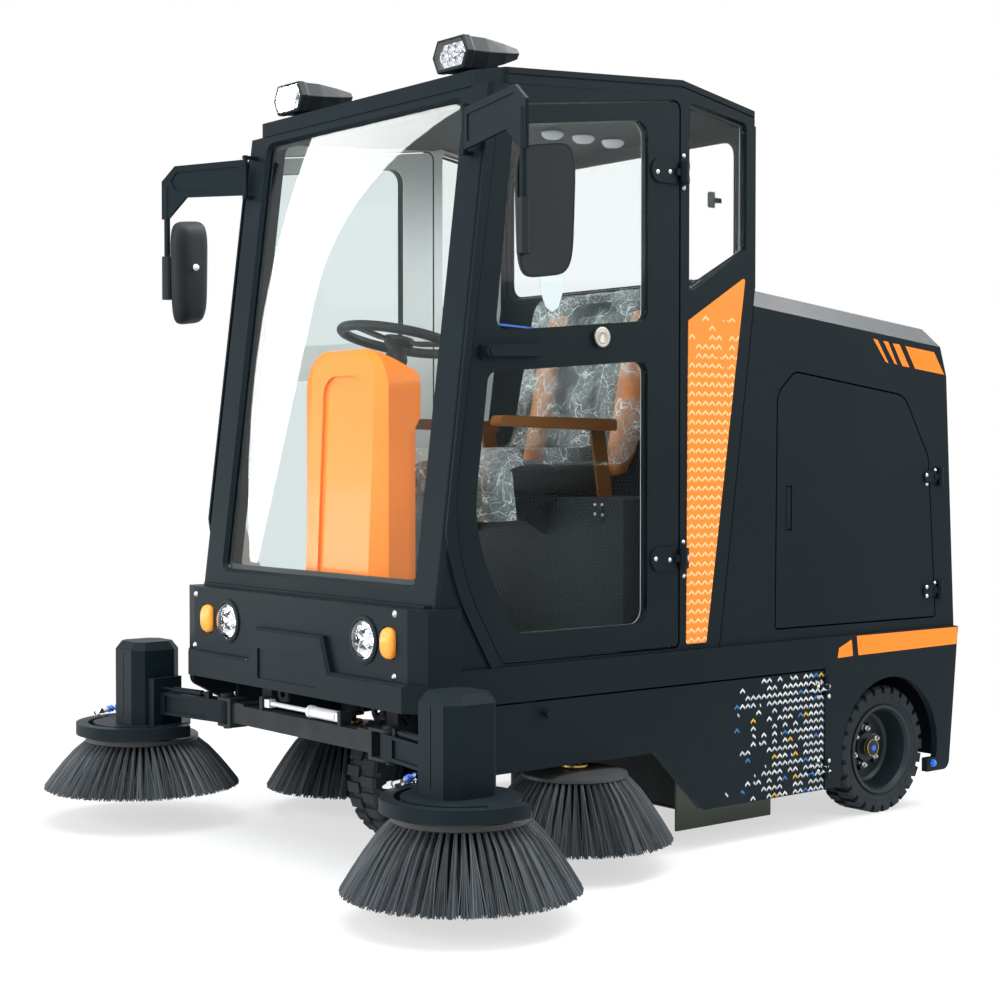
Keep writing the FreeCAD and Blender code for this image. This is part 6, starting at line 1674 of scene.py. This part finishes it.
# %% World
world = bpy.data.worlds.new("studio_world")
bpy.context.scene.world = world
world.use_nodes = True
tree = world.node_tree
tree.nodes.clear()
seen = tree.nodes.new("ShaderNodeBackground")
seen.inputs["Color"].default_value = (1.0, 1.0, 1.0, 1.0)
lit = tree.nodes.new("ShaderNodeBackground")
lit.inputs["Color"].default_value = (0.93, 0.96, 1.0, 1.0)
lit.inputs["Strength"].default_value = 0.52
mix = tree.nodes.new("ShaderNodeMixShader")
output = tree.nodes.new("ShaderNodeOutputWorld")
link(tree, seen_rays(tree), mix.inputs["Fac"])
link(tree, lit.outputs[0], mix.inputs[1])
link(tree, seen.outputs[0], mix.inputs[2])
link(tree, mix.outputs[0], output.inputs["Surface"])
print("world light", round(lit.inputs["Strength"].default_value, 2))

# %% [markdown]
# Large soft lamps model the edges: one over the machine, two in front, one to the left and one
# behind. The one at the front right is low and wide, below the windscreen's edge.

# %% Lamps


def soft_lamp(name, place, aim, width, height, power, roll=0.0):
    """A rectangular lamp that looks at a point. roll turns it about its own line of sight."""
    data = bpy.data.lights.new(name, "AREA")
    data.shape = "RECTANGLE"
    data.size = width
    data.size_y = height
    data.energy = power
    lamp = bpy.data.objects.new(name, data)
    lamp.location = place
    turn = (Vector(aim) - Vector(place)).to_track_quat("-Z", "Y").to_matrix()
    lamp.rotation_euler = (turn @ Matrix.Rotation(math.radians(roll), 3, "Z")).to_euler()
    bpy.context.scene.collection.objects.link(lamp)
    print(name, power, "W")


soft_lamp("lamp_over", (0.5, -0.5, 5.5), (0.0, 0.0, 1.0), 6.0, 5.0, 430.0)
soft_lamp("lamp_left", (4.6, 3.4, 3.2), (0.3, 0.4, 1.2), 2.4, 2.4, 80.0)
soft_lamp("lamp_front", (0.8, -6.5, 3.2), (0.0, -0.5, 1.0), 3.6, 2.6, 260.0)
soft_lamp("lamp_front_right", (-4.8, -5.4, 0.65), (-0.2, -0.8, 0.6), 4.5, 1.1, 110.0)
soft_lamp("lamp_behind", (0.2, 4.4, 5.2), (0.3, 0.6, 1.3), 3.2, 3.0, 330.0)

# %% [markdown]
# A tall bright card with curved sides stands far off to the right. Only reflections see it, and the
# windscreen mirrors it as the pale band that sweeps down from its top corner.

# %% The windscreen's reflection
CARD_X, CARD_LOW, CARD_HIGH = -7.0, 1.36, 5.1
CARD_STRENGTH = 22.0


def make_card():
    """The card for the windscreen: a curved sheet of light that only reflections see.

    It stands in the plane x = CARD_X. Its left side is y = -4.5 - 0.08 * (z - 3.4) ** 2 and its
    right side y = -4.89 - 0.28 * max(z - 3.3, 0) ** 2.
    """
    z = np.linspace(CARD_LOW, CARD_HIGH, 30)
    x = np.full_like(z, CARD_X)
    left = np.stack([x, -4.5 - 0.08 * (z - 3.4) ** 2, z], axis=-1)
    right = np.stack([x, -4.89 - 0.28 * np.maximum(z - 3.3, 0.0) ** 2, z], axis=-1)
    points = np.stack([left, right], axis=1).reshape(-1, 3)
    mesh = bpy.data.meshes.new("screen_card")
    mesh.from_pydata(points.tolist(), [], grid_faces(len(z), 2).tolist())
    card = bpy.data.objects.new("screen_card", mesh)
    bpy.context.scene.collection.objects.link(card)
    material = bpy.data.materials.new("screen_card")
    material.use_nodes = True
    tree = material.node_tree
    glow = tree.nodes.new("ShaderNodeEmission")
    glow.inputs["Strength"].default_value = CARD_STRENGTH
    clear = tree.nodes.new("ShaderNodeBsdfTransparent")
    path = tree.nodes.new("ShaderNodeLightPath")
    mix = tree.nodes.new("ShaderNodeMixShader")
    link(tree, path.outputs["Is Glossy Ray"], mix.inputs["Fac"])
    link(tree, clear.outputs["BSDF"], mix.inputs[1])
    link(tree, glow.outputs["Emission"], mix.inputs[2])
    link(tree, mix.outputs["Shader"], tree.nodes["Material Output"].inputs["Surface"])
    mesh.materials.append(material)


make_card()
print("card", round(CARD_HIGH - CARD_LOW, 2), "m tall")
